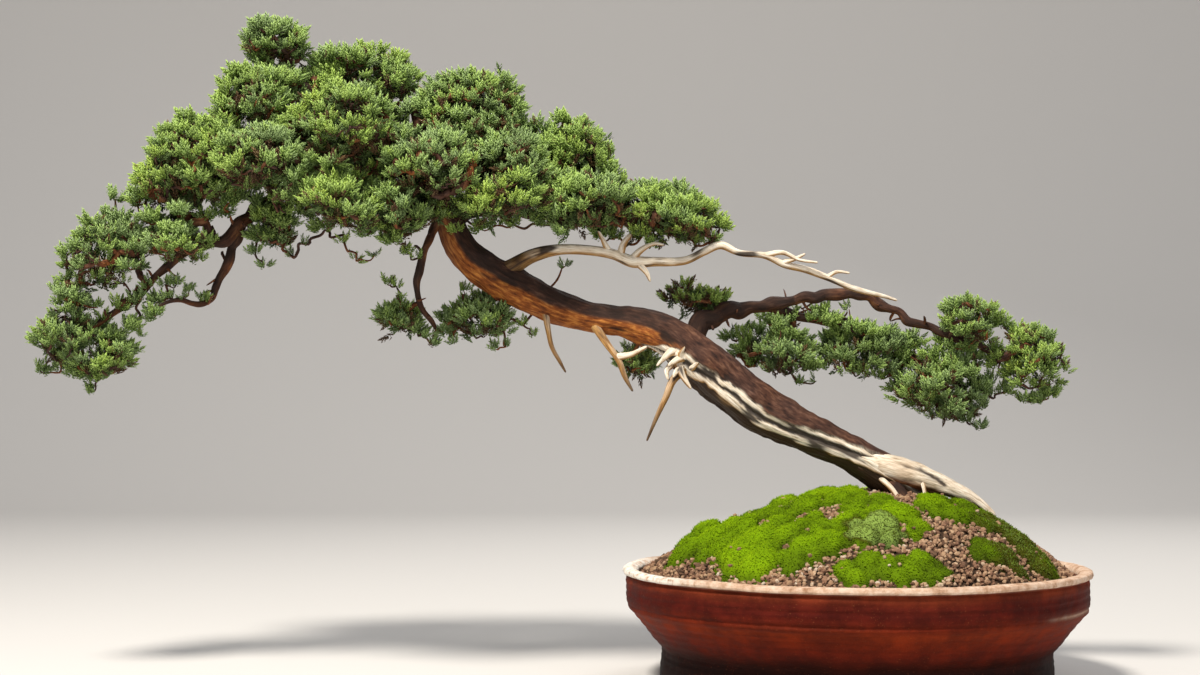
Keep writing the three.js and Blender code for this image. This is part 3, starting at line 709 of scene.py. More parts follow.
def add_screens():
    """Woven plastic squares over the drain holes."""
    pitch, half, thick = 2.0, 17.0, 0.42
    for name, side in (("drain_screen_left", -1), ("drain_screen_right", 1)):
        blocks = []
        for across in (False, True):
            for k, offset in enumerate(np.arange(-half + 0.6, half, pitch)):
                run = np.arange(-half, half + 0.1, pitch / 2)
                wave = 0.3 * np.cos(math.pi * (run + half) / pitch + math.pi * (k + across))
                level = np.full(len(run), FLOOR_TOP + 1.0) + wave
                flat = (np.full(len(run), offset), run) if across else (run, np.full(len(run), offset))
                width = np.full(len(run), thick)
                route = np.column_stack([flat[0] + side * DRAIN_OFFSET, flat[1], level, width])
                blocks.append(tube(route, 1.0, 6, reference=UP))
        make_piece(name + "_weave", blocks, SCREEN, [name])


# ---- mound: soil and moss -----------------------------------------------------------------------
SOIL_EDGE = 82  # the soil's height at the pot's wall
SOIL_RISE = 66  # how much higher the mound's peak is
SOIL_PEAK = np.array([25.0, 5.0])
SOIL_RIM = 171.8  # radius of the soil at the pot's wall


def mound_share(xy):
    """0 at the mound's peak and 1 at the pot's wall."""
    offset = xy - SOIL_PEAK
    away = np.maximum(np.linalg.norm(offset, axis=-1), 1e-6)
    along = (offset @ SOIL_PEAK) / away
    return away / (-along + np.sqrt(along**2 + SOIL_RIM**2 - SOIL_PEAK @ SOIL_PEAK))


def mound_height(xy):
    return SOIL_EDGE + SOIL_RISE * (1 - np.minimum(mound_share(xy), 1) ** 2)


def flat_points(xy):
    return np.concatenate([xy, np.zeros((*xy.shape[:-1], 1))], -1)


# The moss patches, the same as the CAD solids: middle, radii and turn in degrees.
MOSS_PATCHES = {
    "moss_left": [-116, -34, 34, 44, 15],
    "moss_left_front": [-64, -94, 54, 42, -18],
    "moss_crest_left": [-42, -18, 52, 38, 0],
    "moss_front": [8, -146, 44, 17, 4],
    "moss_centre": [8, -80, 30, 46, -8],
    "moss_right": [78, -42, 38, 34, 20],
    "moss_right_flank": [122, -60, 20, 46, 14],
    "moss_back": [18, 88, 72, 44, 12],
}
# Small cushions beside a patch: middle and radius.
LONE_CUSHIONS = {
    "moss_right_flank": [[88, -104, 14], [100, -97, 11], [78, -113, 8], [106, -112, 8]],
    "moss_centre": [[36, -92, 10], [28, -104, 9]],
    "moss_left": [[-98, -74, 12]],
}
CUSHION_TRIES = 900


def moss_lumps():
    """The round cushions of every moss patch: middle, radius and height, patch by patch."""
    rng = np.random.default_rng(5)
    lumps = {}
    for name, (x, y, wide, deep, turn) in MOSS_PATCHES.items():
        angle = math.radians(turn)
        largest = min(17.0, 0.62 * min(wide, deep))
        found = [[*cushion, 0.5 * cushion[2]] for cushion in LONE_CUSHIONS.get(name, [])]
        for _ in range(CUSHION_TRIES):
            radius = largest * rng.uniform(0.48, 1.0)
            share = math.sqrt(rng.uniform())
            around = rng.uniform(0, 2 * math.pi)
            a = (wide - 0.7 * radius) * share * math.cos(around)
            b = (deep - 0.7 * radius) * share * math.sin(around)
            place = [
                x + a * math.cos(angle) - b * math.sin(angle),
                y + a * math.sin(angle) + b * math.cos(angle),
            ]
            rise = rng.uniform(0.50, 0.74) * (1.35 if name == "moss_left" else 1.0)
            if all(math.dist(place, other[:2]) > 0.62 * (radius + other[2]) for other in found):
                found.append([*place, radius, radius * rise])
        lumps[name] = np.array(found)
    return lumps


LUMPS = moss_lumps()


def moss_thickness(xy, lumps):
    """How far the cushions stand above the mound; below 0 there is no moss."""
    thick = np.full(xy.shape[:-1], -3.0)
    ragged = 0.16 * noise(flat_points(xy), 8, 21) + 0.08 * noise(flat_points(xy), 3, 22)
    for x, y, radius, height in lumps:
        reach = np.hypot(xy[..., 0] - x, xy[..., 1] - y) / radius + ragged
        dome = height * np.sqrt(np.clip(1 - reach**2, 0, 1)) - 0.5
        thick = np.maximum(thick, np.where(reach < 1, dome, -3 * (reach - 1)))
    return thick


def tone_block(points, faces, tone, tip):
    """A block whose map holds its tone and tip, corner by corner."""
    corners = np.stack([tone, tip], -1)[faces]
    return {"points": points, "faces": faces, "uv": corners, "values": {"tone": tone, "tip": tip}}


def needle_shape():
    """A thin closed spike 1 long and 1 across, its tip value and its small sideways shift on the map."""
    turn = np.arange(3) * 2 * math.pi / 3
    points = np.vstack([np.column_stack([np.cos(turn) / 2, np.sin(turn) / 2, np.zeros(3)]), [[0, 0, 1]]])
    faces = np.array([[0, 2, 1], [0, 1, 3], [1, 2, 3], [2, 0, 3]])
    return points, faces, np.array([0, 0.03, 0, 1.0]), np.array([0, 0.006, 0.012, 0.006])


def turned(directions, rng):
    """For each direction, two unit vectors square to it, at a random turn."""
    helper = unit(rng.normal(size=directions.shape))
    first = unit(np.cross(directions, helper))
    return first, np.cross(directions, first)


def scatter(shape, places, directions, widths, lengths, tones, rng):
    """Copies of one small shape, each at its place, along its direction, with its own size and tone."""
    points, faces, tip, shift = shape
    first, second = turned(directions, rng)
    copies = (
        points[None, :, 0:1] * (first * widths[:, None])[:, None]
        + points[None, :, 1:2] * (second * widths[:, None])[:, None]
        + points[None, :, 2:3] * (directions * lengths[:, None])[:, None]
        + places[:, None]
    )
    count, size = copies.shape[:2]
    all_faces = (faces[None] + (np.arange(count) * size)[:, None, None]).reshape(-1, 3)
    tone = np.clip(tones[:, None] + shift[None], 0.001, 0.999).ravel()
    return tone_block(copies.reshape(-1, 3), all_faces, tone, np.tile(tip, count))


def sheet_mesh(low, high, pitch, surface, keep, drop):
    """A closed sheet over a grid: surface(xy) gives its height and keep(xy) says where it is."""
    xs, ys = np.arange(low[0], high[0] + pitch, pitch), np.arange(low[1], high[1] + pitch, pitch)
    xy = np.stack(np.meshgrid(xs, ys, indexing="ij"), -1)
    kept = keep(xy)
    cells = kept[:-1, :-1] & kept[1:, :-1] & kept[:-1, 1:] & kept[1:, 1:]
    i, j = np.nonzero(cells)
    at = lambda a, b: a * len(ys) + b
    quads = np.stack([at(i, j), at(i + 1, j), at(i + 1, j + 1), at(i, j + 1)], -1)
    used, index = np.unique(quads, return_inverse=True)
    quads = index.reshape(-1, 4)
    flat = xy.reshape(-1, 2)[used]
    top = np.column_stack([flat, surface(flat)])
    faces = np.vstack([quads[:, [0, 1, 2]], quads[:, [0, 2, 3]]])
    edges = np.vstack([quads[:, [0, 1]], quads[:, [1, 2]], quads[:, [2, 3]], quads[:, [3, 0]]])
    codes = edges.min(1) * len(used) + edges.max(1)
    _, where, times = np.unique(codes, return_index=True, return_counts=True)
    rim = edges[where[times == 1]]
    bottom = top - [0, 0, drop]
    count = len(top)
    walls = np.vstack([
        np.stack([rim[:, 0], rim[:, 0] + count, rim[:, 1] + count], -1),
        np.stack([rim[:, 0], rim[:, 1] + count, rim[:, 1]], -1),
    ])
    return np.vstack([top, bottom]), np.vstack([faces, faces[:, ::-1] + count, walls]), count


MOSS_PITCH = 1.1  # between the points of a moss sheet
MOSS_DEPTH = 5.0  # how far a moss sheet reaches down
FUZZ_PER_POINT = 1.5
GREY_TUFTS = [3, -106, 26, 19]  # a patch of paler, greyer moss: middle and radii


def moss_tone(xy, seed):
    """How bright the moss is, with painted shade making it darker toward the mound's right side. 0 is the
    grey patch, 0.1 is brown and 0.9 is yellow-green.
    """
    wide = noise(flat_points(xy), 38, 31 + seed)
    fine = noise(flat_points(xy), 9, 32)
    # Painted shade: darker moss toward the right.
    right = smoothstep(40, 100, xy[..., 0])
    x, y, across, deep = GREY_TUFTS
    pale = np.hypot((xy[..., 0] - x) / across, (xy[..., 1] - y) / deep)
    tone = np.clip(0.60 + 0.22 * wide + 0.17 * fine - 0.42 * right, 0.12, 0.95)
    return tone * (1 - smoothstep(1.0, 0.75, pale + 0.35 * fine))


def crinkle(xy):
    return 0.5 * noise(flat_points(xy), 3.4, 23) + 0.25 * noise(flat_points(xy), 1.6, 24)


def moss_sheet(lumps, seed):
    """The cushions of one patch as a closed sheet, and the points of its upper side."""
    reach = lumps[:, 2].max() + 3
    low, high = lumps[:, :2].min(0) - reach, lumps[:, :2].max(0) + reach

    def inside(xy):
        return (moss_thickness(xy, lumps) > -1.2) & (np.hypot(xy[..., 0], xy[..., 1]) < SOIL_RIM - 0.5)

    def surface(xy):
        return mound_height(xy) + moss_thickness(xy, lumps) + crinkle(xy)

    points, faces, count = sheet_mesh(low, high, MOSS_PITCH, surface, inside, MOSS_DEPTH)
    tone = moss_tone(points[:, :2], seed) * 0.85
    # Painted shade and highlight: the sheet is darker in the creases between cushions and paler on their
    # tops, and dark underneath.
    rise = np.clip(moss_thickness(points[:, :2], lumps) / 7.0, 0, 1)
    tip = np.clip(0.02 + 0.50 * rise + 0.12 * crinkle(points[:, :2]), 0.02, 0.6)
    tip[count:] = 0.02 + 0.01 * (np.arange(len(tip) - count) % 3)
    return tone_block(points, faces, tone, tip), points[:count]


def moss_fuzz(top, lumps, seed, rng):
    """Short spikes over the cushions of one patch, leaning out from the middle of each cushion."""
    chosen = rng.integers(0, len(top), int(len(top) * FUZZ_PER_POINT))
    feet = top[chosen] + rng.uniform(-0.55, 0.55, (len(chosen), 3)) * (1, 1, 0)
    feet[:, 2] -= 0.4
    feet = feet[moss_thickness(feet[:, :2], lumps) > -0.6]
    count = len(feet)
    gaps = np.hypot(feet[:, None, 0] - lumps[None, :, 0], feet[:, None, 1] - lumps[None, :, 1])
    cushion = lumps[np.argmin(gaps / lumps[None, :, 2], 1)]
    away = (feet[:, :2] - cushion[:, :2]) / cushion[:, 2:3]
    lean = np.column_stack([away * 0.8, np.ones(count)]) + rng.normal(0, 0.32, (count, 3))
    tones = np.clip(moss_tone(feet[:, :2], seed) + rng.normal(0, 0.13, count), 0.02, 0.98)
    widths, lengths = rng.uniform(0.6, 1.0, count), rng.uniform(1.0, 2.5, count)
    fuzz = scatter(needle_shape(), feet, unit(lean), widths, lengths, tones, rng)
    lit = 0.25 + 0.75 * np.clip(moss_thickness(fuzz["points"][:, :2], lumps) / 6.0, 0, 1)
    return tone_block(fuzz["points"], fuzz["faces"], fuzz["values"]["tone"], fuzz["values"]["tip"] * lit)


def add_moss():
    rng = np.random.default_rng(8)
    for seed, (name, lumps) in enumerate(LUMPS.items()):
        sheet, top = moss_sheet(lumps, seed)
        make_piece(name + "_cushions", [sheet, moss_fuzz(top, lumps, seed, rng)], MOSS, [name])


def grain_shape(rng):
    """A rough stone from an icosahedron with its corners pushed in and out."""
    golden = (1 + 5**0.5) / 2
    corners = []
    for a in (-1, 1):
        for b in (-golden, golden):
            corners += [[0, a, b], [a, b, 0], [b, 0, a]]
    corners = unit(np.array(corners, float)) / 2
    hull = [
        (i, j, k) for i in range(12) for j in range(12) for k in range(12)
        if i < j and i < k and j != k
        and all(np.linalg.norm(corners[a] - corners[b]) < 0.55 for a, b in ((i, j), (j, k), (k, i)))
        and np.dot(np.cross(corners[j] - corners[i], corners[k] - corners[i]), corners[i]) > 0
    ]
    points = corners * rng.uniform(0.78, 1.15, (12, 1)) * (1, 0.85, 0.72)
    tip = np.clip(0.5 + points[:, 2] + rng.uniform(-0.15, 0.15, 12), 0, 1)
    return points, np.array(hull), tip, rng.uniform(0, 0.02, 12)


GRAIN_SPOTS = 18500
GRAIN_KINDS = 5
GRAIN_TONES = [0.28, 0.42, 0.55, 0.68, 0.80, 0.95]
GRAIN_SHARES = [0.16, 0.20, 0.24, 0.22, 0.12, 0.06]


def soil_body():
    """The mound under the loose grains, closed by a foot that stands on the pot's floor."""
    rings, sectors = 90, 180
    bottom = FLOOR_TOP + 0.4
    share = np.linspace(0, 1, rings + 1)[1:, None]
    turn = np.linspace(0, 2 * math.pi, sectors, endpoint=False)[None]
    rim = np.stack([np.cos(turn) * SOIL_RIM, np.sin(turn) * SOIL_RIM], -1)
    xy = SOIL_PEAK + (rim - SOIL_PEAK) * share[..., None]
    rough = 1.3 * noise(flat_points(xy), 9, 41) + 0.9 * noise(flat_points(xy), 3.2, 42)
    top = np.concatenate([xy, (mound_height(xy) - 1.2 + rough)[..., None]], -1)
    foot = np.stack([rim[0][:, 0] * 0.80, rim[0][:, 1] * 0.80, np.full(sectors, bottom)], -1)
    peak = [*SOIL_PEAK, SOIL_EDGE + SOIL_RISE]
    points = np.vstack([[peak], top.reshape(-1, 3), foot, [[0, 0, bottom]]])
    _, _, a, b, c, d = ring_cells(rings + 1, sectors, first=1)
    around = np.arange(sectors)
    onward = (around + 1) % sectors
    last = 1 + rings * sectors
    faces = np.vstack([
        np.stack([np.zeros(sectors, int), 1 + around, 1 + onward], -1),
        np.stack([a, c, d], -1).reshape(-1, 3),
        np.stack([a, d, b], -1).reshape(-1, 3),
        np.stack([np.full(sectors, len(points) - 1), last + onward, last + around], -1),
    ])
    tone = np.clip(0.12 + 0.10 * noise(points, 5, 43), 0.005, 0.4)
    tip = np.clip(0.4 + 0.3 * noise(points, 2.5, 44), 0, 1)
    return tone_block(points, faces, tone, tip)


def soil_grains(rng):
    """Loose grains over the bare soil, with a few of them on the moss."""
    spots = rng.uniform(-SOIL_RIM, SOIL_RIM, (GRAIN_SPOTS, 2))
    spots = spots[np.hypot(*spots.T) < SOIL_RIM - 1.5]
    thick = moss_thickness(spots, np.vstack(list(LUMPS.values())))
    kept = (thick < 0.4) | (rng.uniform(size=len(spots)) < 0.006)
    spots, thick = spots[kept], np.maximum(thick, 0)[kept]
    count = len(spots)
    size = rng.uniform(2.6, 4.8, count) * np.where(rng.uniform(size=count) < 0.12, 1.35, 1.0)
    height = mound_height(spots) + thick + rng.uniform(-0.6, 1.6, count)
    places = np.column_stack([spots, height])
    tones = rng.choice(GRAIN_TONES, count, p=GRAIN_SHARES) + rng.normal(0, 0.04, count)
    # Painted shade: grains darker at the left edge and slightly darker toward the right.
    soil_shade = np.where(spots[:, 0] < -120, 0.75, 1.0 - 0.12 * smoothstep(0, 60, spots[:, 0]))
    tones = np.clip(tones, 0.1, 0.98) * soil_shade
    kinds = rng.integers(0, GRAIN_KINDS, count)
    blocks = []
    for kind in range(GRAIN_KINDS):
        chosen = kinds == kind
        directions = unit(rng.normal(size=(chosen.sum(), 3)) + (0, 0, 0.8))
        shape, width = grain_shape(rng), size[chosen]
        blocks.append(scatter(shape, places[chosen], directions, width, width, tones[chosen], rng))
    return blocks


def add_soil():
    grains = soil_grains(np.random.default_rng(9))
    make_piece("soil_bed", [soil_body(), *grains], SOIL, ["soil"], smooth=False)


# ---- wood ---------------------------------------------------------------------------------------
# Where the trunk is bare: x, then the angle of the strip's upper and lower edge (0 faces the front,
# 90 is the upper side), in degrees.
BARE_STRIP = [
    (-166, -60, -95), (-150, -22, -95), (-135, 0, -60), (-121, 4, -34), (-84, 12, -36), (-58, 6, -36),
    (-40, 18, -40), (-19, 33, -38), (3, 48, -10), (33, 84, 2), (61, 98, 18),
]
GOLDEN_TO = -112  # the angle where the golden dead wood below the strip ends


def stretched_grain(turn, along, radius, squeeze):
    return np.stack([np.cos(turn) * radius, np.sin(turn) * radius, along * squeeze], -1)


def bark_relief(turn, along, place, radius):
    size = np.clip(radius / 13, 0.18, 1.3)
    grain = stretched_grain(turn, along, radius, 0.20)
    ridges = 1 - 2 * np.abs(noise(grain, 4.6, 51))
    flakes = noise(grain, 1.9, 52)
    lumps = 0.09 * radius * noise(place, 17, 53) + 0.05 * radius * noise(place, 7, 54)
    return size * (0.62 * ridges + 0.34 * flakes) + lumps


def dead_relief(turn, along, place, radius):
    size = np.clip(radius / 8, 0.22, 1.0)
    grain = stretched_grain(turn, along, radius, 0.07)
    strands = noise(grain, 3.4, 55) * 0.55 + noise(grain, 1.5, 56) * 0.30
    cracks = -1.5 * np.clip(0.16 - np.abs(noise(grain, 5.2, 57)), 0, 1) / 0.16
    return size * (strands + 0.55 * cracks) + 0.07 * radius * noise(place, 12, 58)


def crack_shade(height, radius):
    """Painted shade in cracks: 1 in the deepest ones, from how far the skin lies below its neighbours."""
    size = np.clip(radius / 10, 0.2, 1.2)
    return smoothstep(-0.35, -1.15, height / size)


def bark_marks(turn, place, radius, height):
    under = np.clip(-np.sin(turn), 0, 1)
    warm = np.clip(0.12 + 0.45 * under + 0.30 * noise(place, 14, 61), 0, 1)
    dark = 0.68 + 0.35 * noise(place, 12, 78)
    deep = np.clip(crack_shade(height, radius) + dark, 0, 1)
    return {"bare": np.zeros_like(turn), "warm": warm, "deep": deep}


def golden_marks(turn, place, radius, height):
    warm = np.clip(0.95 - 0.25 * np.sin(turn) + 0.30 * noise(place, 11, 62), 0, 1)
    deep = np.maximum(crack_shade(height, radius), 0.80 * smoothstep(2.6, 1.0, radius))
    return {"bare": np.ones_like(turn), "warm": warm, "deep": deep}


def dead_marks(turn, place, radius, height):
    under = smoothstep(0.0, 0.75, -np.sin(turn) + 0.25 * noise(place, 9, 62))
    rooted = smoothstep(-236, -268, place[..., 0] + 8 * noise(place, 12, 81))  # where it leaves the trunk
    warm = np.clip(0.05 + 0.95 * under + rooted + 0.15 * noise(place, 5, 60), 0, 1)
    deep = np.clip(crack_shade(height, radius) + 0.65 * rooted * (1 + 0.6 * noise(place, 7, 82)), 0, 1)
    return {"bare": np.ones_like(turn), "warm": warm, "deep": deep}


def strip_share(turn, place):
    """1 on the trunk's dead wood and 0 on its bark, and how far down the bare strip each point is: 0 at the
    strip's upper edge, 1 at its lower edge, and more below that."""
    xs, tops, bottoms = np.array(BARE_STRIP, float).T
    x = place[..., 0]
    top, bottom = np.interp(x, xs, tops), np.interp(x, xs, bottoms)
    degrees = (np.degrees(turn) + 180) % 360 - 180
    degrees = degrees + 6 * noise(place, 20, 63) + 4 * noise(place, 6, 64)
    degrees = np.where(degrees > 150, degrees - 360, degrees)
    ends = smoothstep(-172, -158, x + 6 * noise(place, 9, 65))
    inside = smoothstep(0, 5, top - degrees) * smoothstep(0, 6, degrees - GOLDEN_TO) * ends
    return inside, np.maximum((top - degrees) / (top - bottom), 0)


def trunk_relief(turn, along, place, radius):
    bare, down = strip_share(turn, place)
    grain = stretched_grain(turn, along, radius, 0.05)
    flutes = 0.9 * noise(grain, 7.5, 66)
    gap = 0.46 + 0.10 * noise(place, 28, 67)
    groove = -3.2 * np.exp(-((down - gap) / 0.11) ** 2) - 2.0 * smoothstep(0.95, 1.15, down)
    dead = dead_relief(turn, along, place, radius) + flutes - 1.0 + groove
    x = place[..., 0]
    degrees = (np.degrees(turn) + 180) % 360 - 180
    crest = np.interp(x, [-150, 0, 60], [55, 78, 120])
    vein = 2.2 * np.exp(-((degrees - crest) / 32) ** 2)
    vein = vein * smoothstep(-165, -130, x) * smoothstep(70, 20, x)
    live = bark_relief(turn, along, place, radius) + vein
    return live * (1 - bare) + dead * bare


def trunk_marks(turn, place, radius, height):
    bare, down = strip_share(turn, place)
    x = place[..., 0]
    left = smoothstep(-120, -170, x) * smoothstep(-345, -305, x)
    facing_down = smoothstep(-0.10, 0.18, -np.sin(turn) + 0.16 * noise(place, 16, 76))
    # The left trunk's lower side is rusty orange: partly its bark's colour, partly painted light on the side
    # the light reaches.
    warm_bark_and_lit_side = 0.10 + 0.10 * noise(place, 15, 68) + 0.95 * left * facing_down
    warm_dead = smoothstep(0.86, 1.02, down) + 0.16 * noise(place, 9, 69)
    warm = np.clip(warm_bark_and_lit_side * (1 - bare) + warm_dead * bare, 0, 1)
    edge = np.exp(-((bare - 0.5) / 0.28) ** 2)
    relief = height + np.where(bare > 0.5, 1.0, 0.0)
    degrees = np.degrees(np.arctan2(np.sin(turn), np.cos(turn)))
    # Painted shade, carried by deep: the trunk's underside, and the left trunk's upper side in the canopy's
    # shadow.
    underside_shade = 0.75 * smoothstep(-48, -92, degrees + 10 * noise(place, 14, 79)) * (x > -150)
    shaded = underside_shade + 0.88 * left * (1 - facing_down) * (0.8 + 0.4 * noise(place, 8, 77))
    deep = np.clip(crack_shade(relief, radius) + 0.7 * edge * (x < 60) + shaded, 0, 1)
    return {"bare": bare, "warm": warm, "deep": deep}


def root_marks(turn, place, radius, height):
    top = smoothstep(-0.40, 0.05, np.sin(turn) + 0.30 * np.cos(turn) + 0.12 * noise(place, 9, 70))
    warm = np.clip(0.25 + 0.3 * noise(place, 8, 71), 0, 1)
    return {"bare": top, "warm": warm, "deep": crack_shade(height, radius)}


SKELETON = []  # points along all live wood, for twigs to start from


def note_skeleton(points):
    path, _ = smooth_path(points, 5)
    SKELETON.append(path[1:])


def stub_routes(points, spacing, rng):
    """Short broken twigs standing out of a branch."""
    path, _ = smooth_path(points, spacing)
    routes = []
    for x, y, z, radius in path[1:]:
        if rng.uniform() < 0.75:
            aim = unit(rng.normal(size=3) + (0, 0, 0.3))
            length = rng.uniform(5, 13)
            thick = min(radius * 0.45, rng.uniform(0.8, 1.5))
            start = np.array([x, y, z]) + rng.normal(0, 1, 3)
            bend = rng.normal(0, 0.12 * length, 3)
            middle, end = start + aim * (radius + length * 0.5) + bend, start + aim * (radius + length)
            routes.append([[*start, thick], [*middle, thick * 0.75], [*end, thick * 0.4]])
    return routes


def gnarled(points, rng):
    """A branch's route with small kinks and swellings added to it."""
    path, _ = smooth_path(points, 9)
    shift = rng.normal(0, 0.22, (len(path), 3)) * path[:, 3:4]
    shift[0] = 0
    girth = 1 + 0.10 * rng.normal(size=len(path))
    return np.column_stack([path[:, :3] + shift, path[:, 3] * np.clip(girth, 0.82, 1.25)])


LIMB_SHARE = 0.6  # of the map's width, for a limb that has stubs or spurs
JIN_GIRTH = 0.82  # the small jins are slimmer than their plain CAD solids


def add_trunk():
    make_piece("trunk_wood", [tube(TRUNK, 1.05, 120, trunk_relief, trunk_marks)], WOOD, ["trunk"])
    roots = []
    for k, root in enumerate(ROOTS):
        relief, marks = (dead_relief, root_marks) if k == 0 else (bark_relief, bark_marks)
        cell = (k / len(ROOTS), 0, (k + 1) / len(ROOTS), 1)
        roots.append(tube(root, 1.0, 48, relief, marks, cell=cell))
    make_piece("trunk_roots", roots, WOOD)
    note_skeleton(TRUNK[8:])


def side_cells(count):
    """The right-hand part of the map cut into rows, one for each small tube on a limb."""
    return [(LIMB_SHARE, k / count, 1, (k + 1) / count) for k in range(count)]


def add_branches():
    rng = np.random.default_rng(31)
    for name, points in BRANCHES.items():
        sides = 40 if points[0][3] > 6 else 30
        stubs = stub_routes(points, 13, rng)
        blocks = [tube(gnarled(points, rng), 0.9, sides, bark_relief, bark_marks, cell=(0, 0, LIMB_SHARE, 1))]
        for stub, cell in zip(stubs, side_cells(len(stubs))):
            blocks.append(tube(stub, 1.5, 8, twig_relief, twig_marks, cell=cell))
        make_piece(name + "_wood", blocks, WOOD, [name])
        note_skeleton(points)


def add_jins():
    for name, points in JINS.items():
        spurs = SPURS.get(name, [])
        marks = dead_marks
        if name != "jin_long":
            marks = golden_marks
            points = [[x, y, z, JIN_GIRTH * radius] for x, y, z, radius in points]
        cell = (0, 0, LIMB_SHARE if spurs else 1, 1)
        blocks = [tube(points, 0.8, 32, dead_relief, marks, cell=cell)]
        for spur, cell in zip(spurs, side_cells(len(spurs))):
            blocks.append(tube(spur, 0.8, 18, dead_relief, dead_marks, cell=cell))
        make_piece(name + "_wood", blocks, WOOD, [name])


def add_wood():
    add_trunk()
    add_branches()
    add_jins()
    make_piece("trunk_spurs", tube_grid(TRUNK_SPURS, 0.8, 20, dead_relief, dead_marks), WOOD)
    make_piece("rootlets", tube_grid(ROOTLETS, 1.0, 16, dead_relief, dead_marks), WOOD)


# ---- foliage ------------------------------------------------------------------------------------
TUFT_SPACING = 11.5  # between the tufts of a pad
TUFT_DEPTH = 9.0  # how far inside a pad's surface its tufts start
PAD_SAMPLES = 1500  # places tried for a tuft on each pad
BRIDGE_SAMPLES = 500  # places tried for a tuft between pads
BRIDGE_GAP = 30  # the widest gap between two pads that gets tufts of its own
SHOOTS_PER_TUFT = 13  # in a tuft of 8 mm radius
SHOOT_LENGTH = 12.0
# Painted shade for the shoots inside a pad:
INNER_SHADE = 0.42  # how much of their brightness the shoots inside a pad keep
PAD_TWIG = 1.4  # radius of a pad's twig where a loose tuft may start

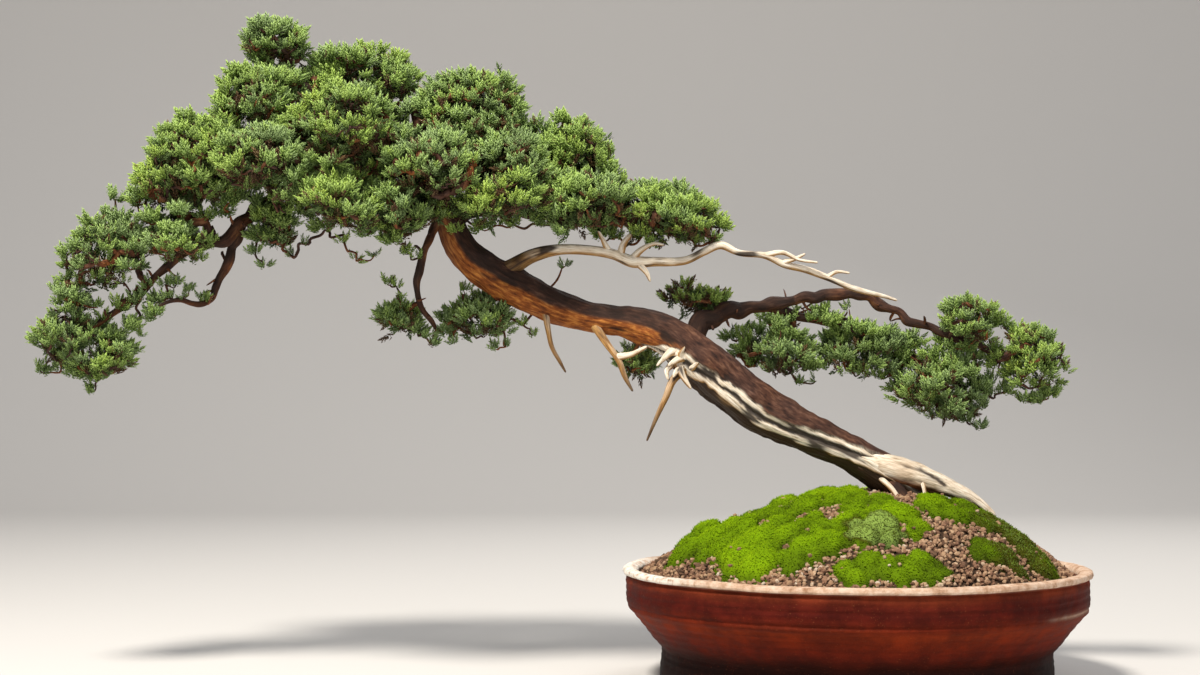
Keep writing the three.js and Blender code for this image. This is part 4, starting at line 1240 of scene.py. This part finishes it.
# Small tufts on their own twigs between the pads and under them: [x, y, z, radius].
LOOSE_TUFTS = {
    "crown": [
        [-343, 8, 468, 12], [-354, 2, 460, 10], [-332, 0, 462, 9], [-431, 4, 490, 10], [-423, 2, 477, 9],
        [-193, 6, 399, 9], [-171, 0, 396, 8], [-182, 4, 391, 9], [-250, 0, 398, 9], [-244, -8, 392, 8],
        [-381, -30, 408, 9], [-372, -46, 415, 9], [-436, -42, 404, 8], [-441, -24, 440, 10],
        [-432, -30, 420, 9], [-490, -24, 440, 8], [-498, -10, 448, 8], [-470, 0, 494, 11],
        [-457, -6, 489, 11], [-481, 2, 484, 10], [-446, 2, 485, 11], [-468, -10, 480, 10],
        [-435, 0, 482, 11], [-478, -6, 500, 9], [-415, 4, 499, 11], [-404, 0, 496, 10], [-426, 2, 500, 10],
        [-393, 2, 498, 9], [-338, 4, 474, 12], [-329, 6, 467, 11], [-346, 0, 466, 10], [-258, 4, 442, 12],
        [-262, 0, 432, 11], [-251, 2, 434, 10], [-199, 2, 420, 10], [-196, 0, 410, 10], [-300, 2, 364, 9],
        [-288, 4, 361, 9], [-275, 0, 363, 8], [-220, 0, 360, 9], [-205, -2, 358, 9], [-190, 2, 357, 8],
        [-172, 0, 356, 8], [-235, 4, 362, 9], [-437, -8, 374, 10], [-430, -6, 363, 9], [-440, -10, 384, 10],
        [-425, -10, 382, 10],
    ],
    "left": [
        [-395, -10, 333, 5], [-383, -12, 340, 5], [-359, -10, 343, 7], [-346, -16, 338, 5],
        [-408, -20, 350, 6], [-440, -10, 346, 6], [-451, -4, 340, 5], [-478, -8, 342, 7],
        [-482, -4, 356, 7], [-470, -6, 332, 6], [-420, -12, 362, 7], [-510, -10, 392, 7],
        [-496, -14, 386, 6], [-512, -6, 384, 9], [-499, -8, 381, 10], [-487, -6, 387, 10],
        [-522, -4, 388, 9], [-478, -8, 393, 9], [-505, -2, 374, 8],
    ],
    "cascade": [
        [-587, -6, 384, 8], [-575, -6, 390, 8], [-594, -8, 374, 7], [-563, -8, 384, 6], [-612, -4, 300, 7],
        [-619, -2, 306, 5], [-635, -4, 316, 7], [-646, 0, 247, 8], [-637, 2, 251, 6], [-613, 8, 233, 7],
        [-523, -10, 338, 6], [-514, -12, 346, 6], [-559, -6, 294, 5], [-547, -8, 307, 6],
        [-535, -8, 304, 5], [-523, -4, 305, 5], [-569, -6, 308, 5], [-574, -2, 286, 6], [-567, 0, 276, 5],
        [-548, -14, 360, 7], [-586, -4, 318, 5], [-596, 4, 314, 5], [-570, -4, 299, 9], [-561, -4, 291, 9],
        [-576, -2, 285, 9], [-556, -6, 304, 8], [-583, 0, 297, 9], [-530, -6, 313, 6], [-518, -4, 306, 6],
        [-540, -8, 319, 7], [-566, -8, 312, 7], [-550, -8, 316, 6], [-618, 4, 246, 9], [-608, 4, 244, 9],
        [-626, 2, 250, 9], [-600, 6, 248, 8], [-612, 2, 254, 10], [-591, 4, 254, 8],
    ],
    "hanging": [
        [-374, -6, 319, 6], [-364, -8, 316, 5], [-361, -10, 303, 5], [-336, -4, 267, 7], [-331, -6, 278, 6],
        [-342, -4, 274, 5], [-311, 8, 314, 6], [-312, 8, 303, 5], [-265, 8, 287, 6], [-258, 10, 277, 5],
        [-288, 8, 266, 6], [-281, 10, 268, 5], [-276, 10, 292, 5], [-235, 12, 327, 6], [-229, 12, 333, 4],
    ],
    "right": [
        [-28, 30, 292, 7], [-14, 32, 287, 8], [-2, 30, 295, 6], [-46, 36, 289, 6], [26, 34, 278, 8],
        [40, 34, 277, 8], [56, 32, 270, 8], [76, 28, 264, 8], [68, 30, 258, 7], [127, 16, 284, 8],
        [134, 18, 278, 7], [116, 24, 262, 7], [110, 30, 240, 8], [112, 32, 230, 7], [130, 24, 228, 6],
        [150, 22, 224, 6], [160, 22, 228, 6], [-38, 44, 240, 6], [-28, 44, 237, 5], [108, 34, 204, 7],
        [28, 44, 244, 7], [40, 40, 246, 7], [92, 22, 303, 7], [68, 36, 225, 8], [80, 34, 214, 8],
        [94, 36, 210, 8], [105, 34, 218, 8], [98, 30, 227, 9], [64, 38, 231, 9], [84, 40, 224, 9],
        [128, 26, 233, 8], [141, 24, 227, 8], [153, 22, 225, 8], [165, 22, 231, 8], [-64, 34, 290, 8],
        [-47, 32, 292, 9], [-27, 34, 295, 9], [-11, 36, 290, 9], [6, 32, 285, 10], [22, 30, 279, 10],
        [39, 30, 274, 9], [55, 28, 271, 9], [63, 30, 263, 10], [47, 34, 262, 10], [30, 36, 266, 10],
        [75, 26, 273, 8], [88, 24, 265, 9], [100, 24, 260, 10], [112, 22, 252, 9], [125, 22, 244, 9],
        [80, 30, 252, 10], [67, 32, 247, 10], [133, 20, 258, 9], [116, 22, 266, 8], [-55, 40, 276, 9],
        [-8, 40, 276, 9], [95, 32, 243, 9], [110, 28, 236, 9],
    ],
}
# How yellow a pad is: 0.3 is blue-green and 0.8 is yellow-green.
PAD_TONE = {
    "foliage_crown_back": 0.66, "foliage_crown_front": 0.55, "foliage_mid_low": 0.68,
    "foliage_centre_front": 0.66, "foliage_right_tip": 0.64, "foliage_left_shoulder": 0.58,
    "foliage_right_dome": 0.58, "foliage_centre_high": 0.44, "foliage_right_shelf": 0.42,
    "foliage_right_end": 0.64, "foliage_right_crest": 0.58, "foliage_skirt_mid": 0.40,
    # foliage_saddle's high tone is painted light: it keeps the pad bright where the canopy shades it.
    "foliage_saddle": 0.84, "foliage_cascade_tip": 0.54, "foliage_apex": 0.50,
}
USUAL_TONE = 0.50
# Pads that are thin and open, with their twigs in sight.
OPEN_PADS = (
    "foliage_hanging", "foliage_under", "foliage_skirt", "foliage_cascade", "foliage_right_end",
    "foliage_right_crest", "foliage_jin",
)


def leaf_shape():
    """A scale leaf 1 long along z with its keel on +x: points, triangles, tip value, shift on the map."""
    points = np.array([[0, -0.5, 0.20], [0, 0.5, 0.20], [0.44, 0, 0.26], [0.06, 0, 1.0]])
    faces = np.array([[0, 1, 2], [0, 2, 3], [2, 1, 3], [1, 0, 3]])
    return points, faces, np.array([0.30, 0.30, 0.45, 1.0]), np.array([0, 0.006, 0.012, 0.006])


def shoot_shape(rng):
    """A shoot 1 long: scale leaves up a stem to a blunt tip, with two smaller shoots beside it."""
    leaf, leaf_faces, leaf_tip, leaf_shift = leaf_shape()
    points, faces, tips, shifts = [], [], [], []

    def add_shoot(foot, direction, length, count, girth, first_tip):
        direction = unit(np.array(direction, float))
        first = unit(np.cross(direction, [0.31, 0.95, 0.05]))
        second = np.cross(direction, first)
        for k in range(count):
            along = (k + 0.4) / count
            turn = 2.39996 * k + rng.uniform(-0.25, 0.25)
            side = math.cos(turn) * first + math.sin(turn) * second
            splay = math.radians(34 - 40 * along**1.5 + rng.uniform(-7, 7))
            aim = direction * math.cos(splay) + side * math.sin(splay)
            keel = side * math.cos(splay) - direction * math.sin(splay)
            across = np.cross(aim, keel)
            reach = length * (0.33 - 0.06 * along) / length**0.4
            wide = reach * 0.46
            root = foot + direction * along * length * 0.80 + side * girth * (1 - 0.55 * along)
            faces.append(leaf_faces + len(leaf) * len(points))
            flat = leaf[:, 0:1] * keel * wide + leaf[:, 1:2] * across * wide
            points.append(flat + leaf[:, 2:3] * aim * reach + root)
            rise = 0.45 * along + 0.55 * leaf_tip * (0.4 + 0.6 * along)
            tips.append(np.clip(first_tip + (1 - first_tip) * rise, 0, 1))
            shifts.append(leaf_shift)

    add_shoot(np.zeros(3), (0, 0, 1), 1.0, 15, 0.055, 0.0)
    for side in (-1, 1):
        lean = (side * 0.50, rng.uniform(-0.35, 0.35), 0.9)
        add_shoot(np.array([0, 0, 0.20 + 0.16 * (side > 0)]), lean, 0.52, 5, 0.04, 0.2)
    return np.vstack(points), np.vstack(faces), np.concatenate(tips), np.concatenate(shifts)


def node_triangles(name):
    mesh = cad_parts[name].data
    points = np.empty(3 * len(mesh.vertices))
    mesh.vertices.foreach_get("co", points)
    mesh.calc_loop_triangles()
    corners = np.empty(3 * len(mesh.loop_triangles), np.int32)
    mesh.loop_triangles.foreach_get("vertices", corners)
    return points.reshape(-1, 3)[corners.reshape(-1, 3)] / MM


def surface_points(triangles, count, rng):
    """Points spread evenly over triangles, and the outward direction at each."""
    cross = np.cross(triangles[:, 1] - triangles[:, 0], triangles[:, 2] - triangles[:, 0])
    area = np.linalg.norm(cross, axis=1)
    chosen = rng.choice(len(triangles), count, p=area / area.sum())
    a, b = rng.uniform(size=(2, count, 1))
    flip = a + b > 1
    a, b = np.where(flip, 1 - a, a), np.where(flip, 1 - b, b)
    t = triangles[chosen]
    return t[:, 0] + a * (t[:, 1] - t[:, 0]) + b * (t[:, 2] - t[:, 0]), unit(cross)[chosen]


def pads_tree(names):
    """One search tree over the foliage solids, and each of its triangles' node."""
    points, owners = [], []
    for name in names:
        triangles = node_triangles(name)
        points.append(triangles.reshape(-1, 3))
        owners += [name] * len(triangles)
    points = np.vstack(points)
    faces = np.arange(len(points)).reshape(-1, 3)
    return BVHTree.FromPolygons([tuple(p) for p in points], [tuple(map(int, f)) for f in faces]), owners


def tuft_places(name, open_pad, tree, owners, rng):
    """Where a pad's tufts sit on the outside of its CAD solid, and which way each one faces."""
    places, normals = surface_points(node_triangles(name), PAD_SAMPLES, rng)
    kept, facing = [], []
    for place, normal in zip(places, normals):
        spacing = TUFT_SPACING * (1.2 if normal[2] < -0.45 else 1.0) * (1.12 if open_pad else 1.0)
        if kept and np.linalg.norm(np.array(kept) - place, axis=1).min() < spacing:
            continue
        outside = tree.find_nearest_range(Vector(place + normal * 0.4), 0.9)
        if any(owners[hit[2]] != name for hit in outside):
            continue
        kept.append(place)
        facing.append(normal)
    return np.array(kept), np.array(facing)


def bridge_places(name, trees, rng):
    """Tufts in the narrow gaps between a pad and the pads before it in the list."""
    places, normals = surface_points(node_triangles(name), BRIDGE_SAMPLES, rng)
    kept, facing = [], []
    for place, normal in zip(places, normals):
        for other in (tree for pad, tree in trees.items() if pad < name):
            hit, _, _, gap = other.find_nearest(Vector(place), BRIDGE_GAP)
            if hit is None or gap < 4 or rng.uniform() < 0.25:
                continue
            middle = (place + np.array(hit)) / 2 + normal * (0, 1, 0) * 2 - UP * rng.uniform(0, 5)
            if kept and np.linalg.norm(np.array(kept) - middle, axis=1).min() < TUFT_SPACING:
                continue
            if any(within(tree, middle) for tree in trees.values()):
                continue
            kept.append(middle)
            facing.append(unit(normal * (0.3, 1, 0.3) + UP * 0.5 + rng.normal(0, 0.3, 3)))
    return np.array(kept).reshape(-1, 3), np.array(facing).reshape(-1, 3)


def within(tree, place):
    """True when a place is inside a closed solid."""
    hit, normal, _, _ = tree.find_nearest(Vector(place))
    return (Vector(place) - hit).dot(normal) < 0


def tuft_shoots(places, facing, depth, radius, rng, density=1.0):
    """Foot, aim, length and tuft number of every shoot: each tuft is a small dome of shoots."""
    below = facing[:, 2] < -0.45
    count = np.maximum(3, density * SHOOTS_PER_TUFT * (radius / 8.0) ** 1.6 * np.where(below, 0.55, 1.0))
    owner = np.repeat(np.arange(len(places)), count.astype(int))
    axis = unit(facing * 0.55 + UP * 0.95)
    first, second = turned(axis, rng)
    turn = rng.uniform(0, 2 * math.pi, len(owner))
    spread = np.sqrt(rng.uniform(0, 1, len(owner)))
    side = first[owner] * np.cos(turn)[:, None] + second[owner] * np.sin(turn)[:, None]
    aim = unit(axis[owner] + side * (0.85 * spread)[:, None] + rng.normal(0, 0.16, (len(owner), 3)))
    feet = places - facing * (depth * 0.75)[:, None] - axis * (depth * 0.35)[:, None]
    start = feet[owner] + side * (spread * radius[owner] * 0.42)[:, None]
    start = start + rng.normal(0, 0.7, (len(owner), 3))
    start = start - axis[owner] * (spread**2 * radius[owner] * 0.15)[:, None]
    length = SHOOT_LENGTH * rng.uniform(0.78, 1.12, len(owner)) * np.clip(radius[owner] / 8, 0.7, 1.1)
    return feet, start, aim, length, owner


def inner_shoots(shapes, feet, count, rng):
    """Dark shoots inside a pad, so that no light comes through it. Their tips are darkened as painted shade,
    and some are brown.
    """
    owner = np.repeat(np.arange(len(feet)), count)
    middle = feet.mean(0)
    toward = rng.uniform(0.0, 0.55, len(owner))[:, None]
    start = feet[owner] + (middle - feet[owner]) * toward + rng.normal(0, 2.5, (len(owner), 3))
    aim = unit(rng.normal(size=(len(owner), 3)) + UP * 0.3)
    length = SHOOT_LENGTH * rng.uniform(0.8, 1.2, len(owner))
    tone = np.where(rng.uniform(size=len(owner)) < 0.4, rng.uniform(0.02, 0.11, len(owner)), 0.18)
    blocks = shoot_blocks(shapes, start, aim, length, tone, rng)
    for block in blocks:
        # painted shade: the inner shoots' tips are darkened
        block["values"]["tip"] = block["values"]["tip"] * INNER_SHADE
        block["uv"] = block["uv"] * (1, INNER_SHADE)
    return blocks


def joined_twigs(near, feet):
    """Every foot joined to the closest wood, or to a closer foot that is joined already: all the points,
    each one's parent, and the order in which the feet joined."""
    joined, parent = [*near[:, :3]], [None] * len(near)
    reach = np.linalg.norm(feet[:, None] - near[None, :, :3], axis=2) * 1.15
    best, source = reach.min(1), reach.argmin(1)
    waiting = np.ones(len(feet), bool)
    order = []
    for _ in range(len(feet)):
        chosen = int(np.argmin(np.where(waiting, best, np.inf)))
        waiting[chosen] = False
        joined.append(feet[chosen])
        parent.append(int(source[chosen]))
        order.append(len(joined) - 1)
        gap = np.linalg.norm(feet - feet[chosen], axis=1)
        closer = gap < best
        best, source = np.where(closer, gap, best), np.where(closer, len(joined) - 1, source)
    return joined, parent, order


def twig_routes(feet, rng):
    """A tree of twigs from the nearest live wood to every tuft's foot. A twig is thicker where it carries
    more tufts, and never thicker than the wood that it starts from."""
    wood = np.vstack(SKELETON)
    gaps = np.linalg.norm(wood[:, None, :3] - feet[None], axis=2).min(1)
    near = wood[np.argsort(gaps)[:30]]
    joined, parent, order = joined_twigs(near, feet)
    load = np.zeros(len(joined))
    for k in reversed(order):
        load[k] += 1
        load[parent[k]] += load[k]
    routes = []
    for k in order:
        start, end = joined[parent[k]], joined[k]
        span = np.linalg.norm(end - start)
        limit = near[parent[k], 3] * 0.8 if parent[k] < len(near) else 9
        thick = min(0.55 + 0.36 * math.sqrt(load[k]), limit)
        thin = min(0.50 + 0.34 * math.sqrt(max(load[k] - 1, 0)), thick)
        bend = rng.normal(0, min(0.10 * span, 2.2), (3, 3)) - UP * min(0.05 * span, 1.0)
        route = [[*start, thick]]
        for t, shift in zip((0.25, 0.5, 0.75), bend):
            route.append([*(start + (end - start) * t + shift), thick + (thin - thick) * t])
        routes.append([*route, [*end, thin]])
    return routes


def twig_relief(turn, along, place, radius):
    return 0.20 * radius * noise(place, 3.0, 72) + 0.12 * radius * noise(place, 1.2, 73)


def twig_marks(turn, place, radius, height):
    warm = np.clip(0.25 + 0.55 * noise(place, 16, 74) + 0.15 * noise(place, 4, 75), 0, 1)
    return {"bare": np.zeros_like(turn), "warm": warm, "deep": np.zeros_like(turn)}


def tube_grid(routes, step, sides, relief, marks):
    """Many tubes with their maps laid out in a grid."""
    grid = math.ceil(math.sqrt(len(routes)))
    return [
        tube(route, step, sides, relief, marks,
             cell=(k % grid / grid, k // grid / grid, (k % grid + 1) / grid, (k // grid + 1) / grid))
        for k, route in enumerate(routes)
    ]


def shoot_blocks(shapes, start, aim, length, tone, rng):
    kinds = rng.integers(0, len(shapes), len(start))
    blocks = []
    for kind, shape in enumerate(shapes):
        chosen = kinds == kind
        if chosen.any():
            size = length[chosen]
            blocks.append(scatter(shape, start[chosen], aim[chosen], size, size, tone[chosen], rng))
    return blocks


def pad_tones(usual, places, owner, below, rng):
    patch = usual + 0.20 * noise(places, 30, 81) + 0.08 * noise(places, 11, 82)
    tone = np.clip(patch[owner] + rng.normal(0, 0.07, len(owner)), 0.17, 0.97)
    dead = rng.uniform(size=len(owner)) < np.where(below[owner], 0.34, 0.02)
    return np.where(dead, rng.uniform(0.01, 0.11, len(owner)), tone)


def swollen(places, facing):
    """Tuft places moved in and out along their facing, so that a pad's outline is broken."""
    swell = np.where(facing[:, 2] < -0.3, 3.0, 6.5) * noise(places, 26, 83)
    swell = swell + 1.6 * (facing[:, 2] > -0.2) - 0.4
    return places + facing * swell[:, None]


def add_twigs(name, feet, step, rng):
    make_piece(name, tube_grid(twig_routes(feet, rng), step, 7, twig_relief, twig_marks), WOOD)


def add_pad(name, shapes, tree, owners, trees, rng):
    """One pad's shoots and twigs. It gives back where its tufts start."""
    open_pad = name.startswith(OPEN_PADS)
    places, facing = tuft_places(name, open_pad, tree, owners, rng)
    places = swollen(places, facing)
    between, outward = bridge_places(name, trees, rng)
    places, facing = np.vstack([places, between]), np.vstack([facing, outward])
    radius = rng.uniform(5.5, 9.5, len(places))
    depth = TUFT_DEPTH - 0.5 - 4.5 * noise(places, 19, 80) + rng.uniform(-3.5, 3.0, len(places))
    feet, start, aim, length, owner = tuft_shoots(places, facing, depth, radius, rng)
    tone = pad_tones(PAD_TONE.get(name, USUAL_TONE), places, owner, facing[:, 2] < -0.45, rng)
    blocks = shoot_blocks(shapes, start, aim, length, tone, rng)
    blocks += inner_shoots(shapes, feet, 2 if open_pad else 4, rng)
    make_piece(name + "_shoots", blocks, FOLIAGE, [name])
    add_twigs(name.replace("foliage", "twigs"), feet, 2.5, rng)
    return feet


def add_loose_tufts(name, tufts, shapes, rng):
    x, y, z, radius = np.array(tufts, float).T
    places = np.column_stack([x, y, z])
    facing = unit(rng.normal(0, 0.45, places.shape) + FRONT * 0.35 + UP * 0.4)
    feet, start, aim, length, owner = tuft_shoots(places, facing, radius * 0.7, radius, rng, 1.1)
    tone = pad_tones(USUAL_TONE, places, owner, np.zeros(len(places), bool), rng)
    make_piece("loose_tufts_" + name, shoot_blocks(shapes, start, aim, length, tone, rng), FOLIAGE)
    add_twigs("loose_twigs_" + name, feet, 2.0, rng)


def add_foliage():
    """The pads in the order of their names, then the loose tufts, which may grow from a pad's twigs."""
    pads = sorted(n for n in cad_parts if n.startswith("foliage_"))
    tree, owners = pads_tree(pads)
    trees = {name: pads_tree([name])[0] for name in pads}
    shape_rng = np.random.default_rng(21)
    shapes = [shoot_shape(shape_rng) for _ in range(6)]
    pad_feet = []
    for seed, name in enumerate(pads):
        feet = add_pad(name, shapes, tree, owners, trees, np.random.default_rng(100 + seed))
        pad_feet.append(np.column_stack([feet, np.full(len(feet), PAD_TWIG)]))
    SKELETON.extend(pad_feet)
    for seed, (name, tufts) in enumerate(LOOSE_TUFTS.items()):
        add_loose_tufts(name, tufts, shapes, np.random.default_rng(200 + seed))


add_camera()
add_studio()
add_pot()
add_screens()
add_soil()
add_moss()
add_wood()
add_foliage()
